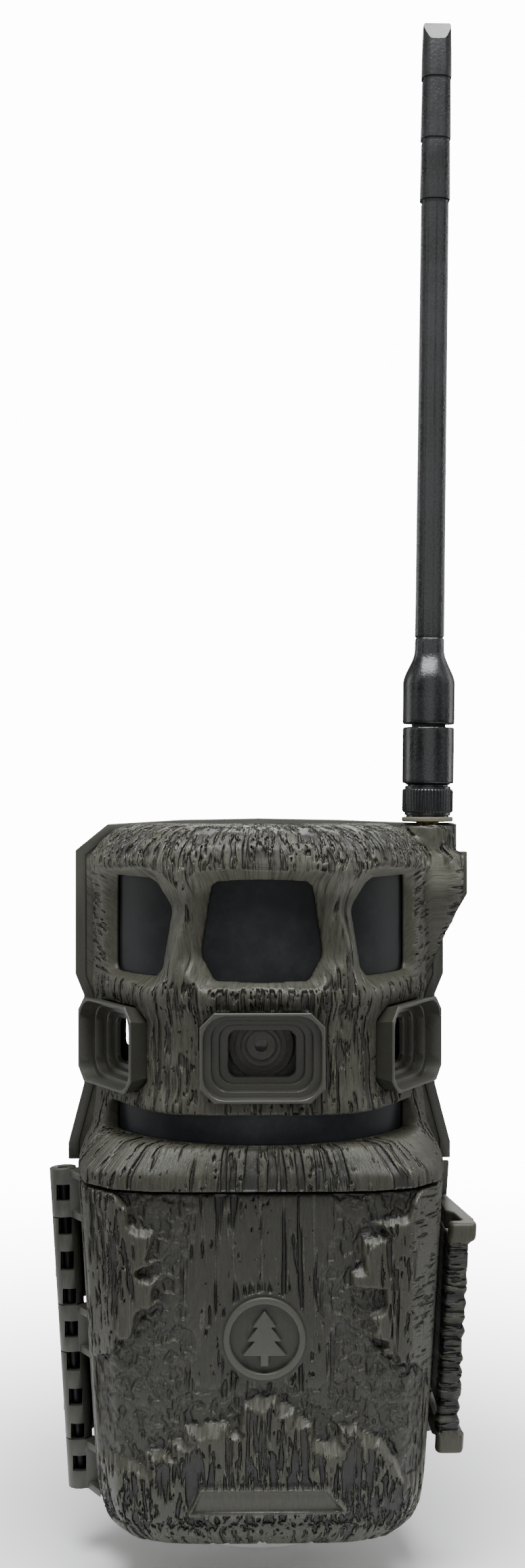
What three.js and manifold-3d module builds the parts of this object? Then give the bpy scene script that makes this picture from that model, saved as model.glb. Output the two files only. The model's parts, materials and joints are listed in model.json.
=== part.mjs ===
// Six-way trail camera: a six-sided camera head with a revolving lens turret, a battery compartment with
// a side-hinged door and a lever latch, and a fold-back cellular antenna.
// Millimetres, +Z up, -Y is the front of the camera. The origin is where the turret's axis meets the flat
// base.
import * as THREE from "three";
import { mergeVertices } from "three/addons/utils/BufferGeometryUtils.js";
import Module from "manifold-3d";

const wasm = await Module();
wasm.setup();

// ---------------------------------------------------------------- driving dimensions
const WALL = 2.2; // moulded shell thickness
const GAP = 0.3; // clearance between neighbouring pieces
const SEAM_Z = 93.8; // lower edge of the head's front shell, above the battery door
const REAR_SEAM_Z = 92.2; // lower edge of the head's rear shell, above the rear cover
const HEAD_TOP_Z = 184.8;
const FLANGE_HALF = 1.2; // half the thickness of the flange between the head's two shells
const WINDOW_RADIUS = 41; // outside of the curved smoked windows
const LENS_Z = 127; // height of the lens and of the six hoods
const HOOD_RIM_RADIUS = 48; // distance of each hood's rim from the turret's axis
const HOOD_BACK_RADIUS = 39.6;
const HOOD_RIM = { half: 15.8, rise: 11.4, cutX: 4.3, cutZ: 2.9 };
const HOOD_BACK = { half: 14.2, rise: 10.0, cutX: 3.9, cutZ: 2.6 };
const TURRET_RADIUS = 24;
const GEAR_MODULE = 1.2;
const GEAR_TEETH = 30;
const PINION_TEETH = 10;
const PINION_AZIMUTH = 150; // degrees from the front, between two motion sensors
const ANTENNA_X = 46.6;
const ANTENNA_BASE_Z = 184.9; // top of the antenna boss
const ANTENNA_LEAN = 0.7; // degrees, the play of the antenna in its connector
const BARREL_RADIUS = 7.1;
const DOOR_TOP_Z = 92.9;
const COVER_TOP_Z = 91.6;
const DOOR_BACK_Y = -6.6;
const TUB_FRONT_Y = -6.0;
const COVER_FRONT_Y = -4.2;
const COVER_BACK = 46.5; // distance of the rear cover's back from the middle
const SIDE_TAPER = 0.0615; // the battery compartment narrows downwards by this share on each side
const HINGE_Y = -6.3;
const HINGE_TOP = { x: -53.85, z: 91 };
const HINGE_BOTTOM = { x: -48.6, z: 4.5 };
const HINGE_RADIUS = 3.65;
const HINGE_PIN_RADIUS = 1.5;
const LATCH_Y = 3;
const LATCH_PIN_RADIUS = 1.0;
const SOCKET_Y = 20; // the tripod socket is this far behind the turret's axis
const CELL_RADIUS = 7.1;
const CELL_LENGTH = 49.5;

// ---------------------------------------------------------------- materials
const finish = (color, roughness, metalness = 0) =>
  new THREE.MeshStandardMaterial({ color, roughness, metalness });
const BARK = finish(0x4b4b41, 0.6);
const OLIVE = finish(0x4a4a40, 0.55);
const BLACK = finish(0x1b1d1e, 0.5);
const RUBBER = finish(0x26282a, 0.8);
const SMOKED = finish(0x14181c, 0.2);
const CLEAR = new THREE.MeshStandardMaterial({
  color: 0xdfe6e8,
  roughness: 0.05,
  transparent: true,
  opacity: 0.3,
});
const BOARD = finish(0x1f4a2c, 0.5);
const STEEL = finish(0x9a9c9e, 0.3, 1);
const BRASS = finish(0xb5934b, 0.3, 1);
const CELL = finish(0x2b5c8f, 0.35, 0.3);
const WHITE = finish(0xc9cbc8, 0.5);

// ---------------------------------------------------------------- solid helpers
const rad = THREE.MathUtils.degToRad;

function solid(geometry) {
  const bare = geometry.index ? geometry.toNonIndexed() : geometry.clone();
  bare.deleteAttribute("normal");
  bare.deleteAttribute("uv");
  const merged = mergeVertices(bare, 1e-4);
  return new wasm.Manifold(
    new wasm.Mesh({
      numProp: 3,
      vertProperties: merged.attributes.position.array,
      triVerts: new Uint32Array(merged.index.array),
    }),
  );
}

function geometryOf(shape) {
  const mesh = shape.getMesh();
  return new THREE.BufferGeometry()
    .setAttribute("position", new THREE.BufferAttribute(mesh.vertProperties, 3))
    .setIndex(new THREE.BufferAttribute(mesh.triVerts, 1));
}

const join = (...shapes) => shapes.reduce((all, next) => all.add(next));
const cut = (shape, ...tools) => tools.reduce((left, tool) => left.subtract(tool), shape);

function box(low, high) {
  const size = high.map((value, i) => value - low[i]);
  return solid(
    new THREE.BoxGeometry(...size).translate(...low.map((value, i) => value + size[i] / 2)),
  );
}

// A round bar of a given radius between two points.
function bar(radius, from, to, sides = 16, endRadius = radius) {
  const start = new THREE.Vector3(...from);
  const along = new THREE.Vector3(...to).sub(start);
  const geometry = new THREE.CylinderGeometry(endRadius, radius, along.length(), sides);
  geometry.translate(0, along.length() / 2, 0);
  const turn = new THREE.Quaternion().setFromUnitVectors(
    new THREE.Vector3(0, 1, 0),
    along.clone().normalize(),
  );
  geometry.applyQuaternion(turn).translate(...from);
  return solid(geometry);
}

// A flat outline in X and Z, given depth along Y.
function plateXZ(points, front, back) {
  const shape = new THREE.Shape(points.map(([x, z]) => new THREE.Vector2(x, z)));
  const geometry = new THREE.ExtrudeGeometry(shape, { depth: back - front, bevelEnabled: false });
  return solid(geometry.rotateX(Math.PI / 2).translate(0, back, 0));
}

// A flat outline in X and Y, given height along Z.
function plateXY(points, bottom, top) {
  const shape = new THREE.Shape(points.map(([x, y]) => new THREE.Vector2(x, y)));
  const geometry = new THREE.ExtrudeGeometry(shape, { depth: top - bottom, bevelEnabled: false });
  return solid(geometry.translate(0, 0, bottom));
}

// A solid through a stack of closed rings that all have the same number of points.
function loft(rings) {
  const count = rings[0].length;
  const points = rings.flat();
  const faces = [];
  for (let r = 0; r + 1 < rings.length; r++)
    for (let i = 0; i < count; i++) {
      const a = r * count + i;
      const b = r * count + ((i + 1) % count);
      faces.push(a, b, b + count, a, b + count, a + count);
    }
  const centre = (ring) =>
    ring.reduce((sum, p) => sum.add(p), new THREE.Vector3()).divideScalar(count);
  points.push(centre(rings[0]), centre(rings.at(-1)));
  const last = (rings.length - 1) * count;
  for (let i = 0; i < count; i++) {
    const next = (i + 1) % count;
    faces.push(points.length - 2, next, i, points.length - 1, last + i, last + next);
  }
  const geometry = new THREE.BufferGeometry().setFromPoints(points).setIndex(faces);
  const made = solid(geometry);
  if (made.volume() > 0) return made;
  for (let i = 0; i < faces.length; i += 3) [faces[i], faces[i + 1]] = [faces[i + 1], faces[i]];
  return solid(geometry.setIndex(faces));
}

// A point at an azimuth in degrees from the front, a radius from the middle axis, and a height.
const polar = (azimuth, radius, z) =>
  new THREE.Vector3(radius * Math.sin(rad(azimuth)), -radius * Math.cos(rad(azimuth)), z);

function turned(shape, degrees) {
  return solid(geometryOf(shape).rotateZ(rad(degrees)));
}

// ---------------------------------------------------------------- the case's outer form
// Radius of a rounded polygon: each face has an azimuth and a distance, and a higher sharpness gives
// tighter corners.
function roundedRadius(azimuth, faces, sharpness) {
  let sum = 0;
  for (const [face, distance] of faces) {
    const along = Math.cos(rad(azimuth - face)) / distance;
    if (along > 0) sum += along ** sharpness;
  }
  return sum ** (-1 / sharpness);
}

const RING_POINTS = 36;
const HOLLOW_POINTS = 24;
function caseRing({ z, front, diagonal, side, sharpness }, inset = 0, count = RING_POINTS) {
  const faces = [];
  for (const azimuth of [0, 180]) faces.push([azimuth, front - inset]);
  for (const azimuth of [60, 120, 240, 300]) faces.push([azimuth, diagonal - inset]);
  for (const azimuth of [90, 270]) faces.push([azimuth, side - inset]);
  return Array.from({ length: count }, (_, i) => {
    const azimuth = (360 * i) / count;
    return polar(azimuth, roundedRadius(azimuth, faces, sharpness), z);
  });
}

const NO_FACE = 400; // a diagonal this far out has no effect on the outline
const section = ([z, front, diagonal, side, sharpness]) => ({ z, front, diagonal, side, sharpness });
const HEAD_SECTIONS = [
  [REAR_SEAM_Z, 49.0, NO_FACE, 48.3, 5],
  [97.5, 48.6, NO_FACE, 48.5, 5],
  [101.5, 46.8, 60, 48.4, 6],
  [104.0, 45.0, 50, 48.4, 8],
  [112.0, 44.2, 45.0, 47.2, 12],
  [119.0, 43.0, 43.2, 47.0, 14],
  [134.0, 43.0, 43.2, 47.6, 14],
  [141.0, 45.6, 45.4, 49.2, 12],
  [147.0, 45.0, 45.0, 49.2, 12],
  [167.5, 45.2, 45.2, 49.3, 12],
  [173.0, 47.6, 47.3, 49.3, 11],
  [176.0, 47.8, 47.4, 49.2, 11],
  [180.0, 46.4, 46.2, 46.0, 9],
  [183.3, 42.5, 42.5, 42.5, 8],
  [HEAD_TOP_Z, 36.0, 36.5, 36.5, 8],
].map(section);
const headOuter = loft(HEAD_SECTIONS.map((s) => caseRing(s)));

// The inside follows the outside, except where a window sits against it all round.
const windowSeat = WINDOW_RADIUS + 0.7;
const HEAD_HOLLOW = [
  [REAR_SEAM_Z - 2, 46.4, NO_FACE, 46, 5],
  [101.8, windowSeat, windowSeat, windowSeat, 200],
  [114.2, windowSeat, windowSeat, windowSeat, 200],
  [115.4, 40.8, 41.0, 44.8, 14],
  [138.4, 41.0, 41.0, 45.4, 14],
  [143.1, windowSeat, windowSeat, windowSeat, 200],
  [173.9, windowSeat, windowSeat, windowSeat, 200],
  [176.5, 44.4, 44.2, 45.4, 11],
  [179.6, 43.2, 43.2, 43.2, 9],
  [HEAD_TOP_Z - WALL, 37, 37, 37, 8],
].map(section);
const isRound = ({ sharpness }) => sharpness > 100;
const circleRing = ({ front, z }) =>
  Array.from({ length: HOLLOW_POINTS }, (_, i) => polar((360 * i) / HOLLOW_POINTS, front, z));
const headInner = loft(
  HEAD_HOLLOW.map((s) => (isRound(s) ? circleRing(s) : caseRing(s, 0, HOLLOW_POINTS))),
);

// ---------------------------------------------------------------- head openings
// A window opening that flares outwards. outline is a list of [azimuth, z] on the window's surface.
function windowCutter(outline, middle, flareAngle, flareZ) {
  const ring = (radius, grow) =>
    outline.map(([azimuth, z]) => {
      const away = Math.hypot(azimuth - middle[0], z - middle[1]);
      const shift = grow / away;
      return polar(
        azimuth + (azimuth - middle[0]) * shift * flareAngle,
        radius,
        z + (z - middle[1]) * shift * flareZ,
      );
    });
  return loft([ring(36, 0), ring(42.2, 0), ring(54, 1)]);
}

// The middle window is narrow at the top and widest two thirds of the way down.
const MIDDLE_WINDOW = [
  [-15.5, 170.9], [0, 171.3], [15.5, 170.9], [17.8, 169.6], [18.4, 167.5], [21.6, 153.4],
  [21.3, 151.6], [17.0, 146.2], [15.6, 145.6], [0, 145.4], [-15.6, 145.6], [-17.0, 146.2],
  [-21.3, 151.6], [-21.6, 153.4], [-18.4, 167.5], [-17.8, 169.6],
];
// The side windows lean the other way, so that the pillars between the windows are X-shaped.
const SIDE_WINDOW = [
  [66, 171.4], [54, 171.4], [43, 171.2], [40, 170.2], [33.6, 164.4], [33.2, 162.6],
  [37.2, 148.2], [40, 146.0], [54, 146.0], [64.5, 146.4], [66, 148],
];
const mirrored = (outline) => outline.map(([azimuth, z]) => [-azimuth, z]);
const flipY = (shape) => turned(shape, 180);

const frontOpenings = [
  windowCutter(MIDDLE_WINDOW, [0, 159], 9, 7),
  windowCutter(SIDE_WINDOW, [50, 159], 17, 6),
  windowCutter(mirrored(SIDE_WINDOW), [-50, 159], 17, 6),
];

// The band opening in front of the motion sensors.
function sectorRing(radius, halfAngle, z, steps = 12) {
  const arc = Array.from({ length: steps + 1 }, (_, i) =>
    polar(-halfAngle + (2 * halfAngle * i) / steps, radius, z),
  );
  return [...arc, new THREE.Vector3(0, 0, z)];
}
const bandOpening = loft([
  sectorRing(70, 66, 104.2),
  sectorRing(70, 66, 111.8),
]);

// ---------------------------------------------------------------- hoods
function chamferedRect({ half, rise, cutX, cutZ }, grow, radius) {
  const w = half + grow;
  const h = rise + grow;
  const corners = [
    [-w + cutX, -h], [w - cutX, -h], [w, -h + cutZ], [w, h - cutZ],
    [w - cutX, h], [-w + cutX, h], [-w, h - cutZ], [-w, -h + cutZ],
  ];
  return corners.map(([x, z]) => new THREE.Vector3(x, -radius, LENS_Z + z));
}

function roundedRectShape(half, rise, corner) {
  const shape = new THREE.Shape();
  shape.moveTo(-half + corner, -rise);
  shape.lineTo(half - corner, -rise);
  shape.absarc(half - corner, -rise + corner, corner, -Math.PI / 2, 0, false);
  shape.lineTo(half, rise - corner);
  shape.absarc(half - corner, rise - corner, corner, 0, Math.PI / 2, false);
  shape.lineTo(-half + corner, rise);
  shape.absarc(-half + corner, rise - corner, corner, Math.PI / 2, Math.PI, false);
  shape.lineTo(-half, -rise + corner);
  shape.absarc(-half + corner, -rise + corner, corner, Math.PI, Math.PI * 1.5, false);
  return shape;
}

// The funnel inside a hood: [half width, half height, corner radius, depth of its floor below the rim].
const HOOD_STEPS = [
  [14.85, 10.5, 5.6, 3.9],
  [12.85, 9.0, 4.6, 6.4],
  [10.85, 7.5, 3.6, 8.0],
  [8.6, 5.9, 2.2, 12],
];
function hoodPocket([half, rise, corner, depth]) {
  const geometry = new THREE.ExtrudeGeometry(roundedRectShape(half, rise, corner), {
    depth: depth + 2,
    bevelEnabled: false,
    curveSegments: 1,
  });
  // The outline's own plane becomes X and Z, and the pocket runs from outside the rim inwards.
  return solid(geometry.rotateX(Math.PI / 2).translate(0, -HOOD_RIM_RADIUS + depth, LENS_Z));
}

const hoodForm = (grow, inner, outer) => {
  const at = (radius) => (radius - HOOD_BACK_RADIUS) / (HOOD_RIM_RADIUS - HOOD_BACK_RADIUS);
  const size = (radius) => {
    const t = Math.min(1, Math.max(0, at(radius)));
    const mix = (key) => HOOD_BACK[key] + (HOOD_RIM[key] - HOOD_BACK[key]) * t;
    return { half: mix("half"), rise: mix("rise"), cutX: mix("cutX"), cutZ: mix("cutZ") };
  };
  return loft([
    chamferedRect(size(inner), grow, inner),
    chamferedRect(size(outer), grow, outer),
  ]);
};
const hoodSolid = cut(
  hoodForm(0, HOOD_BACK_RADIUS, HOOD_RIM_RADIUS),
  ...HOOD_STEPS.map(hoodPocket),
);
const hoodHole = join(
  hoodForm(GAP, 34, HOOD_BACK_RADIUS),
  hoodForm(GAP, HOOD_BACK_RADIUS - 0.01, HOOD_RIM_RADIUS),
  hoodForm(GAP, HOOD_RIM_RADIUS - 0.01, 60),
);

// ---------------------------------------------------------------- head shells
const antennaBoss = loft(
  [
    [144.5, 45.6, 2.4],
    [153, 46.8, 4.6],
    [158, 47.6, 6.4],
    [165.2, 48.5, 8.4],
    [176.4, 48.5, 8.4],
    [177.4, ANTENNA_X, 8.0],
    [ANTENNA_BASE_Z, ANTENNA_X, 8.0],
  ].map(([z, x, radius]) =>
    Array.from({ length: 20 }, (_, i) => {
      const angle = (Math.PI * i) / 10;
      return new THREE.Vector3(x + radius * Math.cos(angle), radius * Math.sin(angle), z);
    }),
  ),
);
const antennaBore = join(
  bar(3.6, [ANTENNA_X, 0, 156], [ANTENNA_X, 0, 190], 16),
  box([36, -2.4, 147], [ANTENNA_X, 2.4, 160]),
);
const BIG = 200;
const behind = (y) => box([-BIG, y, -BIG], [BIG, BIG, BIG * 2]);
const inFront = (y) => box([-BIG, -BIG, -BIG], [BIG, y, BIG * 2]);

const headSkin = cut(join(headOuter, antennaBoss), headInner, antennaBore);
const frontSkin = cut(
  headSkin,
  behind(-FLANGE_HALF - GAP),
  box([-BIG, -BIG, 0], [BIG, 0, SEAM_Z]),
  ...frontOpenings,
  bandOpening,
  ...[-60, 0, 60].map((azimuth) => turned(hoodHole, azimuth)),
);

// The flange that the rear shell carries around the joint.
const FLANGE_OUTLINE = [
  [0, 186.1], [-22, 185.7], [-42, 184.5], [-50.85, 177.3], [-50.85, 143.3], [-48.5, 137.5],
  [-48.5, 112.9], [-52.75, 96.7], [-52.75, REAR_SEAM_Z], [52.75, REAR_SEAM_Z], [52.75, 96.7],
  [48.5, 112.9], [48.5, 137.5], [50.85, 143.3], [50.85, 154], [57.5, 165.2], [57.5, 176.9],
  [54.5, 176.9], [54.5, 184.6], [42, 184.9], [22, 185.7],
];
const rearSkin = cut(
  headSkin,
  inFront(FLANGE_HALF - 0.2),
  ...frontOpenings.map(flipY),
  flipY(bandOpening),
  ...[120, 180, 240].map((azimuth) => turned(hoodHole, azimuth)),
);
const flange = cut(plateXZ(FLANGE_OUTLINE, -FLANGE_HALF, FLANGE_HALF), headInner, antennaBore);
const rearShell = join(rearSkin, flange);

// ---------------------------------------------------------------- windows and light boards
function curvedPanel(outer, inner, halfAngle, bottom, top, steps = 14) {
  const outline = [];
  for (let i = 0; i <= steps; i++) {
    const azimuth = -halfAngle + (2 * halfAngle * i) / steps;
    outline.push(polar(azimuth, outer, 0));
  }
  for (let i = steps; i >= 0; i--) {
    const azimuth = -halfAngle + (2 * halfAngle * i) / steps;
    outline.push(polar(azimuth, inner, 0));
  }
  return plateXY(outline.map((p) => [p.x, p.y]), bottom, top);
}
const ringSolid = (outer, inner, bottom, top, sides = 36) =>
  cut(
    bar(outer, [0, 0, bottom], [0, 0, top], sides),
    bar(inner, [0, 0, bottom - 1], [0, 0, top + 1], sides),
  );

const irWindow = curvedPanel(WINDOW_RADIUS, WINDOW_RADIUS - 1.5, 70, 143.5, 173.5);
const pirWindow = curvedPanel(WINDOW_RADIUS, WINDOW_RADIUS - 1.2, 70, 102.2, 113.8);
const lensWindowRing = ringSolid(39.1, 37.6, 115.5, 138.5, 32);

// A six-sided board that carries an infrared emitter on each face.
const hexPrism = (apothem, bottom, top) =>
  bar(apothem / Math.cos(rad(30)), [0, 0, bottom], [0, 0, top], 6);
const emitters = Array.from({ length: 6 }, (_, face) =>
  turned(bar(4.2, [0, -31.5, 158.5], [0, -35.2, 158.5], 10), 60 * face),
);
const irLedDrum = join(
  cut(hexPrism(33, 146.5, 171), hexPrism(31.2, 145, 172.5)),
  ...emitters,
);

// Six motion sensors on one ring-shaped board.
const pirSensorRing = join(
  cut(ringSolid(37.5, 33.2, 97.5, 99.1, 24), box([30, -3, 90], [45, 3, 100])),
  ...Array.from({ length: 6 }, (_, i) =>
    turned(
      join(
        bar(4.1, [0, -34, 106.5], [0, -38.2, 106.5], 8),
        box([-4, -35.6, 99], [4, -34, 106.5]),
      ),
      60 * i,
    ),
  ),
);

// ---------------------------------------------------------------- lens turret and its drive
const PLATE_BOTTOM = 103;
const PLATE_TOP = 105.4;
const pinionAt = polar(PINION_AZIMUTH, (GEAR_MODULE * (GEAR_TEETH + PINION_TEETH)) / 2, 0);
const floorPlate = cut(
  join(
    bar(30.5, [0, 0, PLATE_BOTTOM], [0, 0, PLATE_TOP], 24),
    box([-40.8, -3, PLATE_BOTTOM], [-20, 3, PLATE_TOP]),
    box([20, -3, PLATE_BOTTOM], [40.8, 3, PLATE_TOP]),
  ),
  bar(7.2 + GAP + 0.1, [0, 0, 100], [0, 0, 110], 16),
  bar(4, [pinionAt.x, pinionAt.y, 100], [pinionAt.x, pinionAt.y, 110], 16),
  bar(2.2, [34, 0, 100], [34, 0, 110], 10),
);

// Spur gear outline with straight-flanked teeth.
function gearShape(teeth, phase, tipWidth = 0.26, rootWidth = 0.6) {
  const pitch = (GEAR_MODULE * teeth) / 2;
  const tip = pitch + 0.8 * GEAR_MODULE;
  const root = pitch - 1.2 * GEAR_MODULE;
  const step = (2 * Math.PI) / teeth;
  const outline = [];
  for (let i = 0; i < teeth; i++) {
    const middle = phase + i * step;
    const flanks = [[root, -rootWidth], [tip, -tipWidth], [tip, tipWidth], [root, rootWidth]];
    for (const [radius, width] of flanks) {
      const angle = middle + (width / 2) * step;
      outline.push([radius * Math.cos(angle), radius * Math.sin(angle)]);
    }
  }
  return outline;
}
const towardsPinion = Math.atan2(pinionAt.y, pinionAt.x);
const turretGear = cut(
  plateXY(gearShape(GEAR_TEETH, towardsPinion), 107.2, 110.4),
  bar(7.7, [0, 0, 100], [0, 0, 120], 16),
);
const pinionTooth = towardsPinion + Math.PI + Math.PI / PINION_TEETH;
const pinionBlank = solid(
  geometryOf(plateXY(gearShape(PINION_TEETH, pinionTooth), 107.0, 110.6)).translate(
    pinionAt.x,
    pinionAt.y,
    0,
  ),
);
const motorPinion = cut(
  pinionBlank,
  bar(1.6, [pinionAt.x, pinionAt.y, 100], [pinionAt.x, pinionAt.y, 120], 12),
);
const stepperMotor = join(
  bar(8.5, [pinionAt.x, pinionAt.y, 86], [pinionAt.x, pinionAt.y, PLATE_BOTTOM - GAP], 24),
  bar(1.3, [pinionAt.x, pinionAt.y, 100], [pinionAt.x, pinionAt.y, 111.5], 12),
);

const LENS_FACE_Y = -26.5;
const turretDrum = cut(
  join(
    bar(TURRET_RADIUS, [0, 0, 113.5], [0, 0, 140.5], 28),
    bar(7.2, [0, 0, PLATE_BOTTOM + 0.4], [0, 0, 114], 16),
    box([-14, -24.4, 115], [14, 0, 139]),
  ),
  box([-12.5, 2, 116], [12.5, 30, 138]),
  bar(8.9, [0, -40, LENS_Z], [0, 1.5, LENS_Z], 24),
);
const lensBarrel = cut(
  join(
    bar(8.5, [0, LENS_FACE_Y, LENS_Z], [0, 1.2, LENS_Z], 24),
    bar(5.2, [0, LENS_FACE_Y - 1.2, LENS_Z], [0, -20, LENS_Z], 24),
  ),
  bar(4.1, [0, LENS_FACE_Y - 3, LENS_Z], [0, LENS_FACE_Y + 3, LENS_Z], 16, 3.3),
);
const lensElement = (() => {
  const profile = [[0, 0], [3.0, 0], [3.0, 1.3]];
  for (let i = 1; i <= 3; i++) {
    const t = (i / 3) * (Math.PI / 2);
    profile.push([3.0 * Math.cos(t), 1.3 + 1.2 * Math.sin(t)]);
  }
  profile[profile.length - 1][0] = 0;
  const geometry = new THREE.LatheGeometry(
    profile.map(([r, h]) => new THREE.Vector2(r, h)),
    16,
  );
  geometry.rotateX(Math.PI).translate(0, LENS_FACE_Y + 2.7, LENS_Z);
  return solid(geometry);
})();
const sensorBoard = box([-11, 3, 117.5], [11, 4.6, 136.5]);

// The channel that carries the wiring past the lens level, on the antenna's side.
const wiringPost = cut(
  box([29.8, -4.5, PLATE_TOP + GAP], [36.6, 4.5, 145]),
  box([31.2, -3.1, 100], [50, 3.1, 150]),
);

class Route extends THREE.Curve {
  constructor(points) {
    super();
    this.inner = new THREE.CatmullRomCurve3(points.map((p) => new THREE.Vector3(...p)));
  }
  getPoint(t, target) {
    return this.inner.getPoint(t, target);
  }
}
function tube(radius, points, steps, sides = 8) {
  const ring = new THREE.Shape();
  for (let i = 0; i < sides; i++) {
    const angle = (2 * Math.PI * i) / sides;
    const place = [radius * Math.cos(angle), radius * Math.sin(angle)];
    if (i) ring.lineTo(...place);
    else ring.moveTo(...place);
  }
  return solid(
    new THREE.ExtrudeGeometry(ring, { steps, bevelEnabled: false, extrudePath: new Route(points) }),
  );
}
const antennaCoax = tube(
  1.1,
  [
    [ANTENNA_X, 0, 168.6], [45.6, 0, 160], [40, 0, 150], [34.5, 0, 142],
    [34, 0, 128], [34, 0, 110], [34, 0, 93], [30, 4, 82],
  ],
  15,
);

// ---------------------------------------------------------------- antenna
const antennaPoint = (z) => [ANTENNA_X, 0, z];
const smaConnector = join(
  bar(3.15, antennaPoint(169), antennaPoint(193.4), 16),
  bar(5.2, antennaPoint(181.5 + 3.6), antennaPoint(186.0), 6),
);
const connectorClear = bar(5.7, antennaPoint(180), antennaPoint(187), 16);
const sealRing = cut(
  bar(7.1, antennaPoint(ANTENNA_BASE_Z + GAP), antennaPoint(186.5), 24),
  connectorClear,
);

// The antenna's own pieces are built upright and then leaned about their base.
function lean(shape) {
  const geometry = geometryOf(shape);
  geometry.translate(-ANTENNA_X, 0, -ANTENNA_BASE_Z);
  geometry.rotateY(rad(ANTENNA_LEAN));
  return solid(geometry.translate(ANTENNA_X, 0, ANTENNA_BASE_Z));
}
const RIBS = 20;
const ribbedOutline = Array.from({ length: RIBS * 2 }, (_, i) => {
  const angle = (Math.PI * i) / RIBS;
  const radius = i % 2 ? 7.05 : 6.6;
  return [ANTENNA_X + radius * Math.cos(angle), radius * Math.sin(angle)];
});
const antennaNut = cut(
  join(
    bar(6.3, antennaPoint(186.9), antennaPoint(187.8), 20),
    plateXY(ribbedOutline, 187.6, 194.2),
    bar(6.25, antennaPoint(194), antennaPoint(195), 20),
  ),
  bar(3.8, antennaPoint(180), antennaPoint(200), 16),
);

const FOLD_Z = 203; // height of the antenna's fold pin
const FOLD_CLEAR = 9.0; // the barrel's top edge is rounded to this radius about the pin, at the back
const TONGUE_HALF = 4.45;
const barrelTop = 211.3;
const roundAtBack = cut(
  box([30, 0, FOLD_Z], [60, 20, 240]),
  bar(FOLD_CLEAR, [20, 0, FOLD_Z], [70, 0, FOLD_Z], 32),
);
const lowerBarrel = cut(
  join(
    bar(6.0, antennaPoint(195.3), antennaPoint(196), 20),
    bar(BARREL_RADIUS, antennaPoint(195.8), antennaPoint(barrelTop), 24),
  ),
  roundAtBack,
  box([ANTENNA_X - TONGUE_HALF - GAP, -3.3, 199], [ANTENNA_X + TONGUE_HALF + GAP, 20, 220]),
  bar(1.0, [30, 0, FOLD_Z], [60, 0, FOLD_Z], 12),
);
const foldPin = bar(0.95, [ANTENNA_X - 6.6, 0, FOLD_Z], [ANTENNA_X + 6.6, 0, FOLD_Z], 12);
const tongue = cut(
  join(
    bar(2.8, [ANTENNA_X - TONGUE_HALF, 0, FOLD_Z], [ANTENNA_X + TONGUE_HALF, 0, FOLD_Z], 16),
    box([ANTENNA_X - TONGUE_HALF, -2.8, FOLD_Z], [ANTENNA_X + TONGUE_HALF, 2.8, 214]),
  ),
  bar(1.0, [30, 0, FOLD_Z], [60, 0, FOLD_Z], 12),
);

// Rings from a circle at the barrel to an eight-sided section at the mast.
const MAST_HALF = 3.95;
const MAST_DEPTH = 3.6;
const MAST_SIDES = 24;
function antennaRing(z, roundness, half, depth) {
  return Array.from({ length: MAST_SIDES }, (_, i) => {
    const angle = (360 * (i + 0.5)) / MAST_SIDES;
    const octagon = roundedRadius(angle, [0, 90, 180, 270].map((a) => [a, a % 180 ? half : depth])
      .concat([45, 135, 225, 315].map((a) => [a, half * 1.06])), 22);
    const radius = octagon * (1 - roundness) + half * roundness;
    return new THREE.Vector3(ANTENNA_X, 0, 0).add(polar(angle, radius, z));
  });
}
const upperBarrel = join(
  loft([
    antennaRing(212.2, 1, 7.15, 7.15),
    antennaRing(223.7, 1, 7.2, 7.2),
    antennaRing(226.0, 0.9, 6.6, 6.6),
    antennaRing(229.0, 0.5, 4.9, 4.8),
    antennaRing(231.5, 0.1, 4.05, 3.8),
    antennaRing(236.0, 0, 3.95, MAST_DEPTH),
  ]),
  tongue,
);
// The mast is a stack of segments, each a little wider at its lower end where it caps the one below.
const MAST_JOINTS = [236.3, 357.4, 374.3, 391.2, 406.6];
const mastRings = [];
MAST_JOINTS.slice(0, -1).forEach((bottom, i) => {
  const top = MAST_JOINTS[i + 1];
  const swell = 0.16;
  mastRings.push(antennaRing(bottom, 0, MAST_HALF + (i ? swell : 0), MAST_DEPTH + (i ? swell : 0)));
  mastRings.push(antennaRing(top - (i < 3 ? 0.35 : 0), 0, MAST_HALF - 0.05, MAST_DEPTH - 0.05));
});
const mastTip = plateYZ([[-8, 401.2], [-MAST_DEPTH - 0.1, 401.2], [-0.9, 407], [-8, 407]]);
function plateYZ(points) {
  const shape = new THREE.Shape(points.map(([y, z]) => new THREE.Vector2(y, z)));
  const geometry = new THREE.ExtrudeGeometry(shape, { depth: 30, bevelEnabled: false });
  // The outline's own axes become Y and Z, and its depth runs along X.
  geometry.rotateX(Math.PI / 2).rotateZ(Math.PI / 2);
  return solid(geometry.translate(ANTENNA_X - 15, 0, 0));
}
const antennaMast = cut(loft(mastRings), mastTip);

// ---------------------------------------------------------------- battery compartment
const sideAt = (z) => 48.2 - (DOOR_TOP_Z - z) * SIDE_TAPER;
// Front and back faces lean in slightly towards the base, and the lower edge is rounded.
const compartmentSections = (depth, top) =>
  [
    [0, depth - 19, 11.5], [0.9, depth - 13, 7.6], [3, depth - 8.2, 4.2], [6.4, depth - 4.8, 1.8],
    [11, depth - 2.7, 0.4], [17, depth - 1.7, 0], [45, depth - 0.8, 0], [top, depth, 0],
  ].map(([z, front, shrink]) =>
    section([z, front, NO_FACE, sideAt(z) - shrink, 5.2]),
  );
const hollowSections = (depth, top) =>
  compartmentSections(depth, top)
    .filter(({ z }) => z > 1)
    .map((s) => ({ ...s, z: s.z < top ? s.z + 0.6 : top - WALL }));

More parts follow.
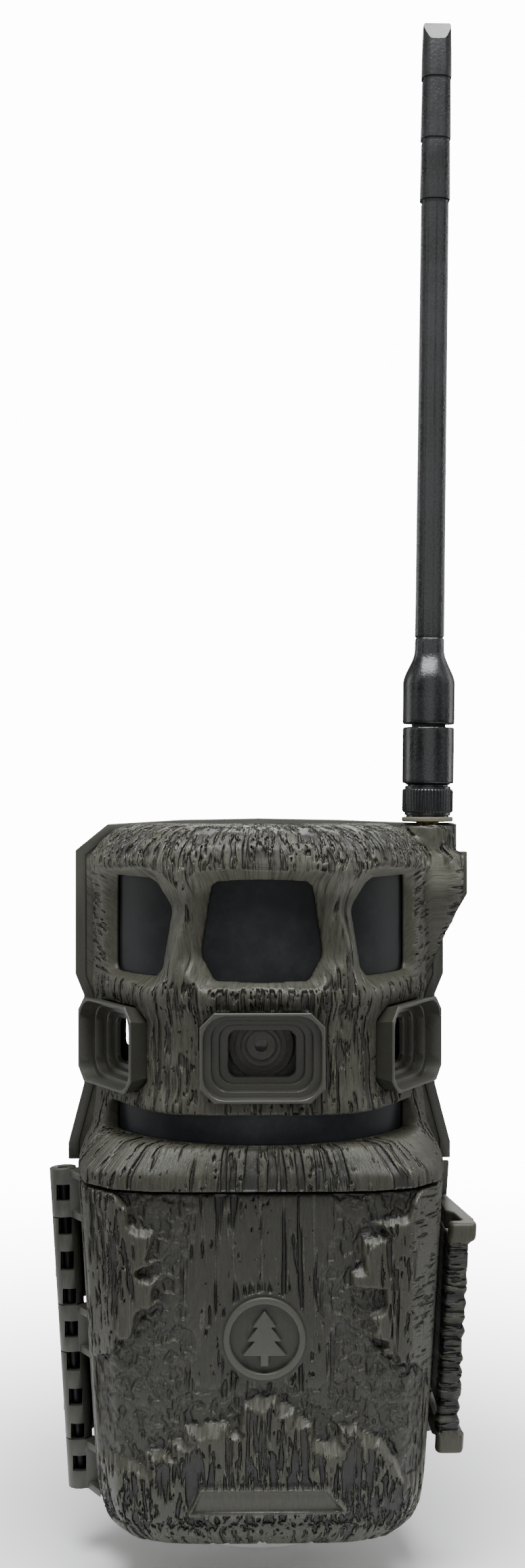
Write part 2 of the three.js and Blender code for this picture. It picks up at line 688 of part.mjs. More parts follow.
const hingeX = (z) =>
  HINGE_TOP.x + ((HINGE_BOTTOM.x - HINGE_TOP.x) * (HINGE_TOP.z - z)) / (HINGE_TOP.z - HINGE_BOTTOM.z);
const onHinge = (z) => [hingeX(z), HINGE_Y, z];
const latchX = (z) => 51.1 - (COVER_TOP_Z - z) * SIDE_TAPER;
const onLatch = (z) => [latchX(z), LATCH_Y, z];

// Knuckles from the top down. The door has three, each with webs to its side, and the rear cover two.
const DOOR_KNUCKLES = [[78.1, 91], [41.6, 54.1], [4.5, 17.7]];
const COVER_KNUCKLES = [[54.4, 77.8], [18, 41.3]];
// Square windows that the moulding core leaves in each knuckle, in front of the pin.
const DOOR_KNUCKLE_WINDOWS = [[82.4, 86.9], [45.4, 49.9], [9.2, 13.4]];
const COVER_KNUCKLE_WINDOWS = [
  [73.2, 77.9], [63.6, 68.8], [54.3, 58.7], [36.4, 41.4], [26.9, 31.6], [17.9, 22.1],
];
const knuckleWindow = ([low, high]) => {
  const x = hingeX((low + high) / 2);
  return box([x - 1.8, HINGE_Y - 6, low], [x + 1.8, HINGE_Y + 1.4, high]);
};
const pinBore = bar(HINGE_PIN_RADIUS + 0.15, onHinge(-5), onHinge(100), 10);
const knuckleTube = ([low, high]) => bar(HINGE_RADIUS, onHinge(low), onHinge(high), 14);

// A door knuckle: the tube, a back web, and plates above and below that run forward to the door's side.
function doorKnuckle([low, high]) {
  const gusset = (z) =>
    plateXY(
      [
        [hingeX(z) - 2.2, HINGE_Y - 1],
        [hingeX(z) + 2, HINGE_Y - 3.2],
        [-sideAt(z) + 1.6, HINGE_Y - 12],
        [-sideAt(z) + 1.6, HINGE_Y - 0.4],
        [hingeX(z), HINGE_Y],
      ],
      z - 0.9,
      z + 0.9,
    );
  const web = plateXY(
    [
      [hingeX(low) + 0.5, HINGE_Y - 3.2],
      [-sideAt(high) + 1.7, HINGE_Y - 3.2],
      [-sideAt(high) + 1.7, HINGE_Y - 1.6],
      [hingeX(low) + 0.5, HINGE_Y - 1.6],
    ],
    low,
    high,
  );
  return join(knuckleTube([low, high]), gusset(low + 0.9), gusset(high - 0.9), web);
}
// A cover knuckle: the tube and a web that runs back to the cover's side, with an outer rib.
function coverKnuckle([low, high]) {
  const middle = (low + high) / 2;
  const x = hingeX(middle);
  return join(
    knuckleTube([low, high]),
    plateXY(
      [
        [x - 1.8, HINGE_Y + 1],
        [x + 2.6, HINGE_Y + 1],
        [-sideAt(middle) + 2, 6],
        [-sideAt(middle) + 1, 12],
        [x + 1, 1],
      ],
      low,
      high,
    ),
    box([x - 3.6, HINGE_Y + 1.2, middle - 5.4], [x - 1.2, HINGE_Y + 5, middle + 5.4]),
  );
}

const doorOuter = loft(compartmentSections(49.5, DOOR_TOP_Z).map((s) => caseRing(s)));
const doorInner = loft(hollowSections(49.5, DOOR_TOP_Z).map((s) => caseRing(s, WALL, HOLLOW_POINTS)));
const DOOR_CATCH = { low: 24, high: 79 };
const catchRib = plateXZ(
  [
    [sideAt(DOOR_CATCH.low) - 1.5, DOOR_CATCH.low],
    [sideAt(DOOR_CATCH.low) + 0.9, DOOR_CATCH.low],
    [sideAt(DOOR_CATCH.high) + 0.9, DOOR_CATCH.high],
    [sideAt(DOOR_CATCH.high) - 1.5, DOOR_CATCH.high],
  ],
  -12.6,
  -9.6,
);
const batteryDoor = cut(
  join(
    cut(doorOuter, doorInner, behind(DOOR_BACK_Y)),
    catchRib,
    ...DOOR_KNUCKLES.map(doorKnuckle),
  ),
  pinBore,
  ...DOOR_KNUCKLE_WINDOWS.map(knuckleWindow),
);

// A soft seal that follows the door's rim on the inside.
const gasketSections = (inset) =>
  hollowSections(49.5, DOOR_TOP_Z).map((s) => ({
    ...s,
    z: s.z < 45 ? s.z + inset - WALL : s.z - inset + WALL,
    front: 200,
    side: s.side,
  }));
const sealOutline = (inset) => {
  const left = gasketSections(inset).map(({ z, side }) => [-(side - inset), z]);
  const right = left.map(([x, z]) => [-x, z]).reverse();
  return [...left, ...right];
};
const doorGasket = cut(
  plateXZ(sealOutline(WALL + GAP + 0.2), DOOR_BACK_Y - 2.2, DOOR_BACK_Y + 0.2),
  plateXZ(sealOutline(WALL + GAP + 2.2), -20, 0),
);

// Rear cover: a shell like the door's, with strap bridges on its back.
const coverOuter = loft(compartmentSections(COVER_BACK, COVER_TOP_Z).map((s) => caseRing(s)));
const coverInner = loft(
  hollowSections(COVER_BACK, COVER_TOP_Z).map((s) => caseRing(s, WALL, HOLLOW_POINTS)),
);
const PAD_Y = 53;
const STRAP = { low: 32, high: 60, left: -30, right: 30 };
// Each strap bridge is a post above and below the webbing and a bar over it.
function strapBridge(x) {
  const post = (low) => box([x - 4, 40, low], [x + 4, PAD_Y, low + 4]);
  const over = box([x - 4, PAD_Y - 2.4, STRAP.low - 4], [x + 4, PAD_Y, STRAP.high + 4]);
  return join(post(STRAP.low - 4), post(STRAP.high), over);
}
const bridges = [STRAP.left, 0, STRAP.right].map(strapBridge);
const treeFoot = (z) => box([-14, 42, z - 4], [14, PAD_Y, z + 4]);
const flangeStrip = plateXZ(
  [[44, 82.5], [51.5, 82.5], [52.1, COVER_TOP_Z], [44, COVER_TOP_Z]],
  COVER_FRONT_Y,
  -2,
);
const INSERT_AT = [0, SOCKET_Y];
const SCREWS = [[-34, 20], [34, 20], [-36, 84], [36, 84]];
const latchEar = ([low, high]) =>
  join(
    bar(1.9, onLatch(low), onLatch(high), 12),
    plateXY(
      [
        [latchX(high) - 1.4, LATCH_Y - 1.6],
        [latchX(high) + 0.8, LATCH_Y - 0.6],
        [latchX(high) + 0.8, LATCH_Y + 1.2],
        [sideAt(low) - 2, LATCH_Y + 7],
        [sideAt(low) - 2, LATCH_Y - 1.6],
      ],
      low,
      high,
    ),
  );
const LATCH_EARS = [[82.2, 86], [15.4, 19.6]];
const coverHollow = cut(
  join(coverInner, box([-60, -60, -5], [60, COVER_FRONT_Y, 120])),
  join(bar(7.5, [...INSERT_AT, -1], [...INSERT_AT, 9], 24)),
);
const rearCover = cut(
  join(
    cut(coverOuter, coverHollow, inFront(COVER_FRONT_Y)),
    ...bridges.map((bridge) => cut(bridge, coverInner)),
    cut(treeFoot(14), coverInner),
    cut(treeFoot(80), coverInner),
    flangeStrip,
    ...COVER_KNUCKLES.map((k) => cut(coverKnuckle(k), coverInner)),
    ...LATCH_EARS.map((ear) => cut(latchEar(ear), coverInner)),
  ),
  box([-34, -8, 86], [38, 34, 100]),
  ...SCREWS.map(([x, z]) => bar(1.6, [x, 30, z], [x, 60, z], 12)),
  pinBore,
  bar(LATCH_PIN_RADIUS + 0.1, onLatch(0), onLatch(100), 12),
  ...COVER_KNUCKLE_WINDOWS.map(knuckleWindow),
  bar(4.3, [...INSERT_AT, -1], [...INSERT_AT, 12], 20),
);
const tripodInsert = cut(
  bar(4.0, [...INSERT_AT, 0], [...INSERT_AT, 8.6], 20),
  bar(3.05, [...INSERT_AT, -1], [...INSERT_AT, 12], 16),
);
const hingePin = bar(HINGE_PIN_RADIUS, onHinge(5), onHinge(90.4), 10);

// ---------------------------------------------------------------- inner tub, electronics, batteries
const tubLeft = (z) => hingeX(z) + HINGE_RADIUS + 0.45;
const tubRight = (z) => (z > 80 ? latchX(z) - 1.4 : latchX(z) - 1.1);
const tubFlange = plateXZ(
  [
    [tubLeft(90.9), 90.9], [tubLeft(8), 8], [tubLeft(4) + 4, 3.4], [tubRight(4) - 4, 3.4],
    [tubRight(8), 9], [tubRight(90.9), 90.9],
  ],
  TUB_FRONT_Y,
  COVER_FRONT_Y - GAP,
);
const tubBody = plateXZ([[-36.4, 7.2], [36.4, 7.2], [41, 88.4], [-41, 88.4]], TUB_FRONT_Y, 28.4);
const tubHollow = plateXZ([[-34.7, 8.9], [34.7, 8.9], [39.3, 86.8], [-39.3, 86.8]], -20, 26.6);
const lowerTub = cut(
  join(tubFlange, tubBody),
  tubHollow,
  bar(7.8, [...INSERT_AT, -1], [...INSERT_AT, 9.4], 24),
  box([26, -5, 85], [38, 8, 95]),
  bar(10.2, [pinionAt.x, pinionAt.y, 84], [pinionAt.x, pinionAt.y, 100], 24),
);

const TRAY = { low: 10.4, high: 63.6, front: -26.5, back: 5.5, half: 33 };
const cellX = (i) => -22.8 + 15.2 * i;
const cellY = (row) => -18.4 + 15.2 * row;
const cellPocket = (i, row) =>
  bar(
    CELL_RADIUS + GAP,
    [cellX(i), cellY(row), TRAY.low + 1.4],
    [cellX(i), cellY(row), TRAY.high - 1.4],
    14,
  );
const tray = cut(
  box([-TRAY.half, TRAY.front, TRAY.low], [TRAY.half, TRAY.back, TRAY.high]),
  box([1.6 - TRAY.half, TRAY.front - 1, TRAY.low + 1.4], [TRAY.half - 1.6, cellY(0) + 1, TRAY.high - 1.4]),
  box([1.6 - TRAY.half, cellY(1) - 1, TRAY.low + 1.4], [TRAY.half - 1.6, TRAY.back + 1, TRAY.high - 1.4]),
  ...[0, 1].flatMap((row) => [0, 1, 2, 3].map((i) => cellPocket(i, row))),
);
const trayFeet = [-24, 24].map((x) => box([x - 5, -3, 9.1], [x + 5, 5, TRAY.low + 0.5]));
const batteryTray = join(tray, ...trayFeet);
function cell(i, row) {
  const bottom = TRAY.low + 1.7;
  const at = (z) => [cellX(i), cellY(row), z];
  return join(
    bar(CELL_RADIUS, at(bottom), at(bottom + CELL_LENGTH - 1.2), 14),
    bar(2.7, at(bottom + 10), at(bottom + CELL_LENGTH), 8),
  );
}

const PANEL_Y = -2;
const controlPanel = cut(
  box([-38, PANEL_Y, 66.5], [38, 0, 86]),
  box([-25 - GAP, -5, 69.5 - GAP], [-3 + GAP, 3, 83 + GAP]),
  box([4, -5, 79], [15, 3, 82.4]),
  bar(2.6, [22, -5, 80.7], [22, 3, 80.7], 16),
  box([4, -5, 70.4], [30, 3, 73.6]),
);
const statusDisplay = box([-25, PANEL_Y + 0.3, 69.5], [-3, 1.4, 83]);
const powerSwitch = join(
  box([5.2, PANEL_Y - 1.6, 79.5], [8.4, 0.6, 81.9]),
  box([4.6, 0.4, 78.6], [9.0, 1.6, 82.8]),
);
const button = (x) =>
  join(
    bar(2.3, [x, PANEL_Y - 1.2, 80.7], [x, 0.6, 80.7], 16),
    bar(3.0, [x, 0.4, 80.7], [x, 1.4, 80.7], 16),
  );
const memoryCard = box([5, PANEL_Y - 1.5, 70.9], [29, 6.2, 73.1]);
const mainBoard = cut(
  box([-37, 7.0, 66], [37, 8.6, 86.4]),
  box([28, 0, 82], [33, 20, 90]),
);

// ---------------------------------------------------------------- latch
const LEVER_FRONT_Y = -30;
const LEVER = { low: 20.9, high: 81 };
// One arm of the lever, in plan: from its eye on the pin, forward past the door's side to the grip.
function leverArm(low, high) {
  const x = latchX(high) - 50.5; // shifts the plan outline with the compartment's taper
  const outline = [
    [50.5, 5.0], [52.4, 4.0], [52.6, 0], [56.7, -27.6], [56.0, LEVER_FRONT_Y], [49.8, LEVER_FRONT_Y],
    [49.2, -28.6], [49.2, -25.7], [52.9, -25.7], [51.6, -17.8], [49.7, -15.4], [49.7, -3.2],
    [48.9, 1.8], [49.2, 4.2],
  ];
  const plan = outline.map(([px, y]) => new THREE.Vector2(px + x, y));
  const shape = new THREE.Shape(plan);
  const geometry = new THREE.ExtrudeGeometry(shape, { depth: high - low, bevelEnabled: false });
  geometry.applyMatrix4(new THREE.Matrix4().makeShear(0, 0, 0, 0, SIDE_TAPER, 0));
  geometry.translate(-SIDE_TAPER * (high - low), 0, low);
  return solid(geometry);
}
const gripBar = plateXZ(
  [[latchX(26) - 1.4, 25], [latchX(26) + 4.2, 25], [latchX(77) + 4.2, 77], [latchX(77) - 1.4, 77]],
  LEVER_FRONT_Y + 0.3,
  LEVER_FRONT_Y + 5.6,
);
const latchLever = cut(
  join(leverArm(LEVER.low, LEVER.low + 5.2), leverArm(LEVER.high - 4.8, LEVER.high), gripBar),
  bar(LATCH_PIN_RADIUS + 0.1, onLatch(0), onLatch(100), 12),
);
// The draw plate between the arms, whose nose lies over the door's catch rib.
const hookX = (z) => latchX(z);
const latchHook = plateXZ(
  [[hookX(30) + 0.2, 28], [hookX(30) + 1.6, 28], [hookX(72) + 1.6, 74], [hookX(72) + 0.2, 74]],
  -17.5,
  LATCH_Y - 2.4,
);
const latchPin = bar(LATCH_PIN_RADIUS, onLatch(15.6), onLatch(85.8), 12);

// ---------------------------------------------------------------- screws
function screw(x, y, z, length) {
  const head = bar(2.6, [x, y, z], [x, y - 1.8, z], 12);
  const socket = bar(1.2, [x, y + 1, z], [x, y - 1.1, z], 6);
  return cut(join(head, bar(1.3, [x, y - 1.5, z], [x, y - length, z], 8)), socket);
}
// ---------------------------------------------------------------- assembly
const camera = new THREE.Group();
function add(name, shape, material) {
  const mesh = new THREE.Mesh(geometryOf(shape), material);
  mesh.name = name;
  camera.add(mesh);
}

add("head_front_shell", frontSkin, BARK);
add("head_rear_shell", rearShell, BARK);
const HOODS = {
  hood_front: 0,
  hood_front_right: 60,
  hood_rear_right: 120,
  hood_rear: 180,
  hood_rear_left: 240,
  hood_front_left: 300,
};
for (const [name, azimuth] of Object.entries(HOODS)) add(name, turned(hoodSolid, azimuth), OLIVE);
add("lens_window_ring", lensWindowRing, CLEAR);
add("ir_window_front", irWindow, SMOKED);
add("ir_window_rear", flipY(irWindow), SMOKED);
add("pir_window_front", pirWindow, SMOKED);
add("pir_window_rear", flipY(pirWindow), SMOKED);
add("ir_led_drum", irLedDrum, BOARD);
add("pir_sensor_ring", pirSensorRing, BOARD);
add("head_floor_plate", floorPlate, BLACK);
add("stepper_motor", stepperMotor, STEEL);
add("motor_pinion", motorPinion, BRASS);
add("turret_gear", turretGear, WHITE);
add("turret_drum", turretDrum, BLACK);
add("lens_barrel", lensBarrel, BLACK);
add("lens_front_element", lensElement, CLEAR);
add("image_sensor_board", sensorBoard, BOARD);
add("wiring_post", wiringPost, BLACK);
add("antenna_coax", antennaCoax, RUBBER);
add("sma_connector", smaConnector, BRASS);
add("antenna_seal_ring", sealRing, OLIVE);
add("antenna_nut", lean(antennaNut), BLACK);
add("antenna_lower_barrel", lean(lowerBarrel), BLACK);
add("antenna_fold_pin", lean(foldPin), STEEL);
add("antenna_upper_barrel", lean(upperBarrel), BLACK);
add("antenna_mast", lean(antennaMast), BLACK);
add("battery_door", batteryDoor, BARK);
add("door_gasket", doorGasket, RUBBER);
add("hinge_pin", hingePin, STEEL);
add("rear_cover", rearCover, BARK);
add("tripod_insert", tripodInsert, BRASS);
add("lower_tub", lowerTub, BLACK);
add("battery_tray", batteryTray, BLACK);
for (let i = 0; i < 8; i++) add(`battery_cell_${i + 1}`, cell(i % 4, Math.floor(i / 4)), CELL);
add("control_panel", controlPanel, BLACK);
add("status_display", statusDisplay, SMOKED);
add("power_switch", powerSwitch, OLIVE);
add("setup_button", button(22), OLIVE);
add("memory_card", memoryCard, BLACK);
add("main_board", mainBoard, BOARD);
add("latch_lever", latchLever, BARK);
add("latch_hook", latchHook, STEEL);
add("latch_pin", latchPin, STEEL);
SCREWS.forEach(([x, z], i) => add(`cover_screw_${i + 1}`, screw(x, COVER_BACK + 0.6, z, 9), STEEL));

export default camera;
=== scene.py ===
"""The looks of the six-way trail camera: bark-textured shells, stepped hoods, smoked windows, antenna."""

import json
import math
from contextlib import contextmanager

import bmesh
import bpy
import numpy as np
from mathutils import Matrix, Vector

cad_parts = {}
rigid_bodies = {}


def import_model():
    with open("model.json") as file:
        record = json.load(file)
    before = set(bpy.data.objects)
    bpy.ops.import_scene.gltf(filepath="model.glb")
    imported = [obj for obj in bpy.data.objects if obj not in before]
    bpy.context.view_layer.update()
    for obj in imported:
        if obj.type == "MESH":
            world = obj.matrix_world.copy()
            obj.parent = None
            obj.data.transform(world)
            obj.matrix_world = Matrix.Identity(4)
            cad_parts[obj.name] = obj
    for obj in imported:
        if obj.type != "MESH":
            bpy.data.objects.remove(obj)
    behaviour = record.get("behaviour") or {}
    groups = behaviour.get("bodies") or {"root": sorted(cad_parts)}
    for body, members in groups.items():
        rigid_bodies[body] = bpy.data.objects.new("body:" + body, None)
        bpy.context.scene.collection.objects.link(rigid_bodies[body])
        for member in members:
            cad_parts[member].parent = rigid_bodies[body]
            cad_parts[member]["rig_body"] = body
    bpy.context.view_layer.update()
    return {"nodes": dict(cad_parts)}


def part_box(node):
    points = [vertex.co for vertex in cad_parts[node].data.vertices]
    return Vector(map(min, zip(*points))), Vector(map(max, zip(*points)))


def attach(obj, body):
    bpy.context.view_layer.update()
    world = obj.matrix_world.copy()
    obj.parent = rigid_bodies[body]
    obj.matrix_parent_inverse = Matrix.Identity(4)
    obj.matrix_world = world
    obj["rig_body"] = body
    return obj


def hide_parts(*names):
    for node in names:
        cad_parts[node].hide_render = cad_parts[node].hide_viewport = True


MM = 0.001
VOXEL = 0.5 * MM  # between the points of the bark shells' mesh
EDGE = 0.12 * MM  # rounding of the pieces that keep their CAD shape
LENS_Z = 127  # height of the lens and the hoods, in millimetres
HOOD_RADIUS = 48  # from the turret's axis to a hood's rim, in millimetres
GRAIN_RADIUS = 48  # the head's bark is laid out on a cylinder of this many millimetres
BARK_DEPTH = 0.6 * MM
PLINTH_HEIGHT = 14 * MM
CAMERA_AT = (-7.5 * MM, -480 * MM, 195.6 * MM)
CAMERA_TURN = 0.993  # degrees to the right
CAMERA_LENS = 39.74
OLIVE_DARK = (0.0235, 0.0233, 0.0154)
OLIVE_LIGHT = (0.0405, 0.0403, 0.0280)
# SMOKE_AND_SHADE: smoky camouflage colouring and painted shade; PIT: the pits' dark colouring and painted
# shade; PALE: painted highlights and pale pit rims
SMOKE_AND_SHADE = (0.0096, 0.0096, 0.0090)
PIT = (0.0070, 0.0070, 0.0074)
PALE = (0.105, 0.104, 0.083)
HOODS = {  # where each hood faces, in degrees round the head from its front
    "hood_front_left": -60,
    "hood_front": 0,
    "hood_front_right": 60,
    "hood_rear_right": 120,
    "hood_rear": 180,
    "hood_rear_left": 240,
}
LAYERS = ("across", "pebbly", "textured", "worn", "sooty", "dense")  # what the bark's points store

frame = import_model()


# ---- small helpers
def ease(low, high, value):
    """0 at low and before it, 1 at high and beyond it, and smooth between. high may be the lower one."""
    t = np.clip((value - low) / (high - low), 0, 1)
    return t * t * (3 - 2 * t)


def new_object(name, mesh):
    made = bpy.data.objects.new(name, mesh)
    bpy.context.scene.collection.objects.link(made)
    return made


def mesh_object(name, points, faces, sharp=35):
    """A smooth-shaded mesh from points in metres, with its creases over `sharp` degrees kept."""
    mesh = bpy.data.meshes.new(name)
    mesh.from_pydata([tuple(p) for p in points], [], faces)
    tidy_normals(mesh, sharp)
    return new_object(name, mesh)


@contextmanager
def editing(mesh):
    """A bmesh of a mesh, which is written back at the end."""
    work = bmesh.new()
    work.from_mesh(mesh)
    yield work
    work.to_mesh(mesh)
    work.free()


def tidy_normals(mesh, sharp):
    """Welds a mesh, turns its faces outwards and shades it smooth but for its creases."""
    with editing(mesh) as work:
        bmesh.ops.remove_doubles(work, verts=work.verts, dist=1e-6)
        bmesh.ops.recalc_face_normals(work, faces=work.faces)
    mesh.shade_smooth()
    mesh.set_sharp_from_angle(angle=math.radians(sharp))


def apply_modifiers(obj):
    """Bakes an object's modifiers into its mesh."""
    evaluated = obj.evaluated_get(bpy.context.evaluated_depsgraph_get())
    mesh = bpy.data.meshes.new_from_object(evaluated)
    obj.modifiers.clear()
    obj.data = mesh


def loft(name, rings, caps=True, sharp=35):
    """A skin over closed rings of equally many points."""
    count = len(rings[0])
    points = [p for ring in rings for p in ring]
    last = len(points) - count
    faces = []
    for r in range(0, last, count):
        for i in range(count):
            a, b = r + i, r + (i + 1) % count
            faces.append((a, b, b + count, a + count))
    if caps:
        faces += [tuple(range(count)), tuple(range(last, last + count))]
    return mesh_object(name, points, faces, sharp)


def around(steps):
    """Evenly spaced angles round a circle, in radians."""
    return [2 * math.pi * i / steps for i in range(steps)]


def lathe(name, profile, base, axis, segments=64, sharp=35):
    """A turned solid. `profile` is a closed list of (radius, height) in metres along `axis` from `base`."""
    turn = Vector((0, 0, 1)).rotation_difference(Vector(axis).normalized())
    rings = []
    for radius, height in profile:
        circle = [Vector((radius * math.cos(a), radius * math.sin(a), height)) for a in around(segments)]
        rings.append([Vector(base) + turn @ point for point in circle])
    return loft(name, rings, sharp=sharp)


def rounded(obj, width):
    """Rounds an object's creases."""
    bevel = obj.modifiers.new("edges", "BEVEL")
    bevel.width = width
    bevel.segments = 2
    bevel.limit_method = "ANGLE"
    bevel.angle_limit = math.radians(30)
    bevel.use_clamp_overlap = True
    apply_modifiers(obj)
    obj.data.shade_smooth()
    obj.data.set_sharp_from_angle(angle=math.radians(50))
    return obj


def boolean(obj, cutter, operation):
    """Cuts or keeps the part of a piece inside a closed cutter."""
    modifier = obj.modifiers.new("boolean", "BOOLEAN")
    modifier.operation = operation
    modifier.solver = "EXACT"
    modifier.object = cutter
    apply_modifiers(obj)
    return obj


def joined(name, parts):
    """One object from several."""
    work = bmesh.new()
    for part in parts:
        work.from_mesh(part.data)
        bpy.data.objects.remove(part)
    mesh = bpy.data.meshes.new(name)
    work.to_mesh(mesh)
    work.free()
    return new_object(name, mesh)


def plate(name, outline, front, back, edge):
    """A plate from an outline of (x, z), between two depths, with rounded edges, all in millimetres."""
    rings = [[(x * MM, y * MM, z * MM) for x, z in outline] for y in (front, back)]
    made = loft(name, rings)
    return rounded(made, edge * MM) if edge else made


def place(obj, material, body, *nodes):
    """Gives a piece its material and body, and hides the CAD nodes that it stands for."""
    obj.data.materials.clear()
    obj.data.materials.append(material)
    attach(obj, body)
    if nodes:
        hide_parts(*nodes)


def copy_of(node, name):
    """A welded copy of a CAD node's mesh with its flat faces whole."""
    mesh = frame["nodes"][node].data.copy()
    mesh.name = name
    for layer in list(mesh.uv_layers):
        mesh.uv_layers.remove(layer)
    with editing(mesh) as work:
        bmesh.ops.remove_doubles(work, verts=work.verts, dist=2e-6)
        bmesh.ops.dissolve_limit(work, angle_limit=math.radians(1.0), verts=work.verts, edges=work.edges)
    return new_object(name, mesh)


def refined(node, material):
    """A CAD node's shape with rounded edges and clean shading."""
    piece = rounded(copy_of(node, node + "_look"), EDGE)
    place(piece, material, frame["nodes"][node]["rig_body"], node)


# ---- material helpers
def new_material(name):
    material = bpy.data.materials.new(name)
    material.use_nodes = True
    return material, material.node_tree.nodes["Principled BSDF"]


def new_node(near, kind):
    """A new node in the tree of another node or socket."""
    return near.id_data.nodes.new("ShaderNode" + kind)


def plug(socket, value):
    """Links an input to another node's output, or sets its value."""
    if isinstance(value, bpy.types.NodeSocket):
        socket.id_data.links.new(value, socket)
    else:
        socket.default_value = value


def feed(node, **inputs):
    """Plugs values into a node's inputs by name, with _ for each space in a name."""
    for key, value in inputs.items():
        plug(node.inputs[key.replace("_", " ")], value)


def noise(coords, scale, detail=3.0, roughness=0.55, distortion=0.0):
    node = new_node(coords, "TexNoise")
    feed(node, Vector=coords, Scale=scale, Detail=detail, Roughness=roughness, Distortion=distortion)
    return node.outputs[0]


def maths(operation, first, second):
    """Combines a socket with another socket or a number."""
    node = new_node(first, "Math")
    node.operation = operation
    plug(node.inputs[0], first)
    plug(node.inputs[1], second)
    return node.outputs[0]


def times(first, second):
    return maths("MULTIPLY", first, second)


def ramp(value, low, high, to_low=0.0, to_high=1.0):
    node = new_node(value, "MapRange")
    node.interpolation_type = "SMOOTHSTEP"
    feed(node, Value=value, From_Min=low, From_Max=high, To_Min=to_low, To_Max=to_high)
    return node.outputs[0]


def mix(factor, first, second):
    """Blends two colours, each a socket or a tuple."""
    node = new_node(factor, "Mix")
    node.data_type = "RGBA"
    plug(node.inputs[0], factor)
    for socket, value in zip(node.inputs[6:8], (first, second)):
        plug(socket, (*value, 1) if isinstance(value, tuple) else value)
    return node.outputs[2]


def blended(factor, first, second):
    """Blends two numbers or sockets: the first where the factor is 0, the second where it is 1."""
    node = new_node(factor, "Mix")
    node.clamp_factor = False
    plug(node.inputs[0], factor)
    plug(node.inputs[2], first)
    plug(node.inputs[3], second)
    return node.outputs[0]


def bump(shader, height, distance, strength=1.0, before=None):
    """Adds a relief to a shader, over an earlier one if there is one."""
    node = new_node(height, "Bump")
    feed(node, Distance=distance, Strength=strength, Height=height)
    if before is not None:
        feed(node, Normal=before)
    feed(shader, Normal=node.outputs[0])
    return node.outputs[0]


def attribute(shader, name):
    node = new_node(shader, "Attribute")
    node.attribute_name = name
    return node


def object_coords(shader):
    return new_node(shader, "TexCoord").outputs["Object"]


def stretched(coords, factors):
    """Coordinates times a factor each way: a pattern is longest where its factor is smallest."""
    node = new_node(coords, "VectorMath")
    node.operation = "MULTIPLY"
    plug(node.inputs[0], coords)
    plug(node.inputs[1], factors)
    return node.outputs[0]


# ---- bark
def pits(coords, scale, level, clumps, edge):
    """Flat-bottomed pits: 0 inside them, 1 outside. `edge` is how wide their sides are."""
    pattern = noise(coords, scale, detail=1.6, roughness=0.45, distortion=0.35)
    return ramp(maths("ADD", pattern, clumps), level - edge, level + edge)


def bark_height(grain, across, pebbly, dense, edge=0.038):
    """The bark's relief, for a shader tree or a geometry tree: 0 in its pits, 1 on its surface.

    Long fibres run down the body, or around it where `across` is 1. Where `pebbly` is 1 there are
    rounded scales instead. There are more pits where `dense` is above 0, and fewer below.
    """
    clumps = noise(stretched(grain, (1, 1, 0.5)), 0.09, detail=2.0)
    clumps = times(maths("SUBTRACT", clumps, 0.5), 0.35)
    thinned = maths("SUBTRACT", clumps, times(dense, 0.08))
    long = pits(stretched(grain, (1, 1, 0.06)), 0.47, 0.40, clumps, edge)
    short = pits(stretched(grain, (1, 1, 0.15)), 0.72, 0.375, thinned, edge)
    small = pits(stretched(grain, (1, 1, 0.34)), 1.1, 0.32, thinned, edge)
    level = pits(stretched(grain, (0.14, 0.14, 1)), 1.15, 0.41, clumps, edge)
    fibres = blended(across, times(times(long, short), small), level)
    flakes = noise(stretched(grain, (1, 1, 0.75)), 0.42, detail=1.5, distortion=0.3)
    return blended(pebbly, fibres, ramp(flakes, 0.32, 0.62, 0.1, 1.0))


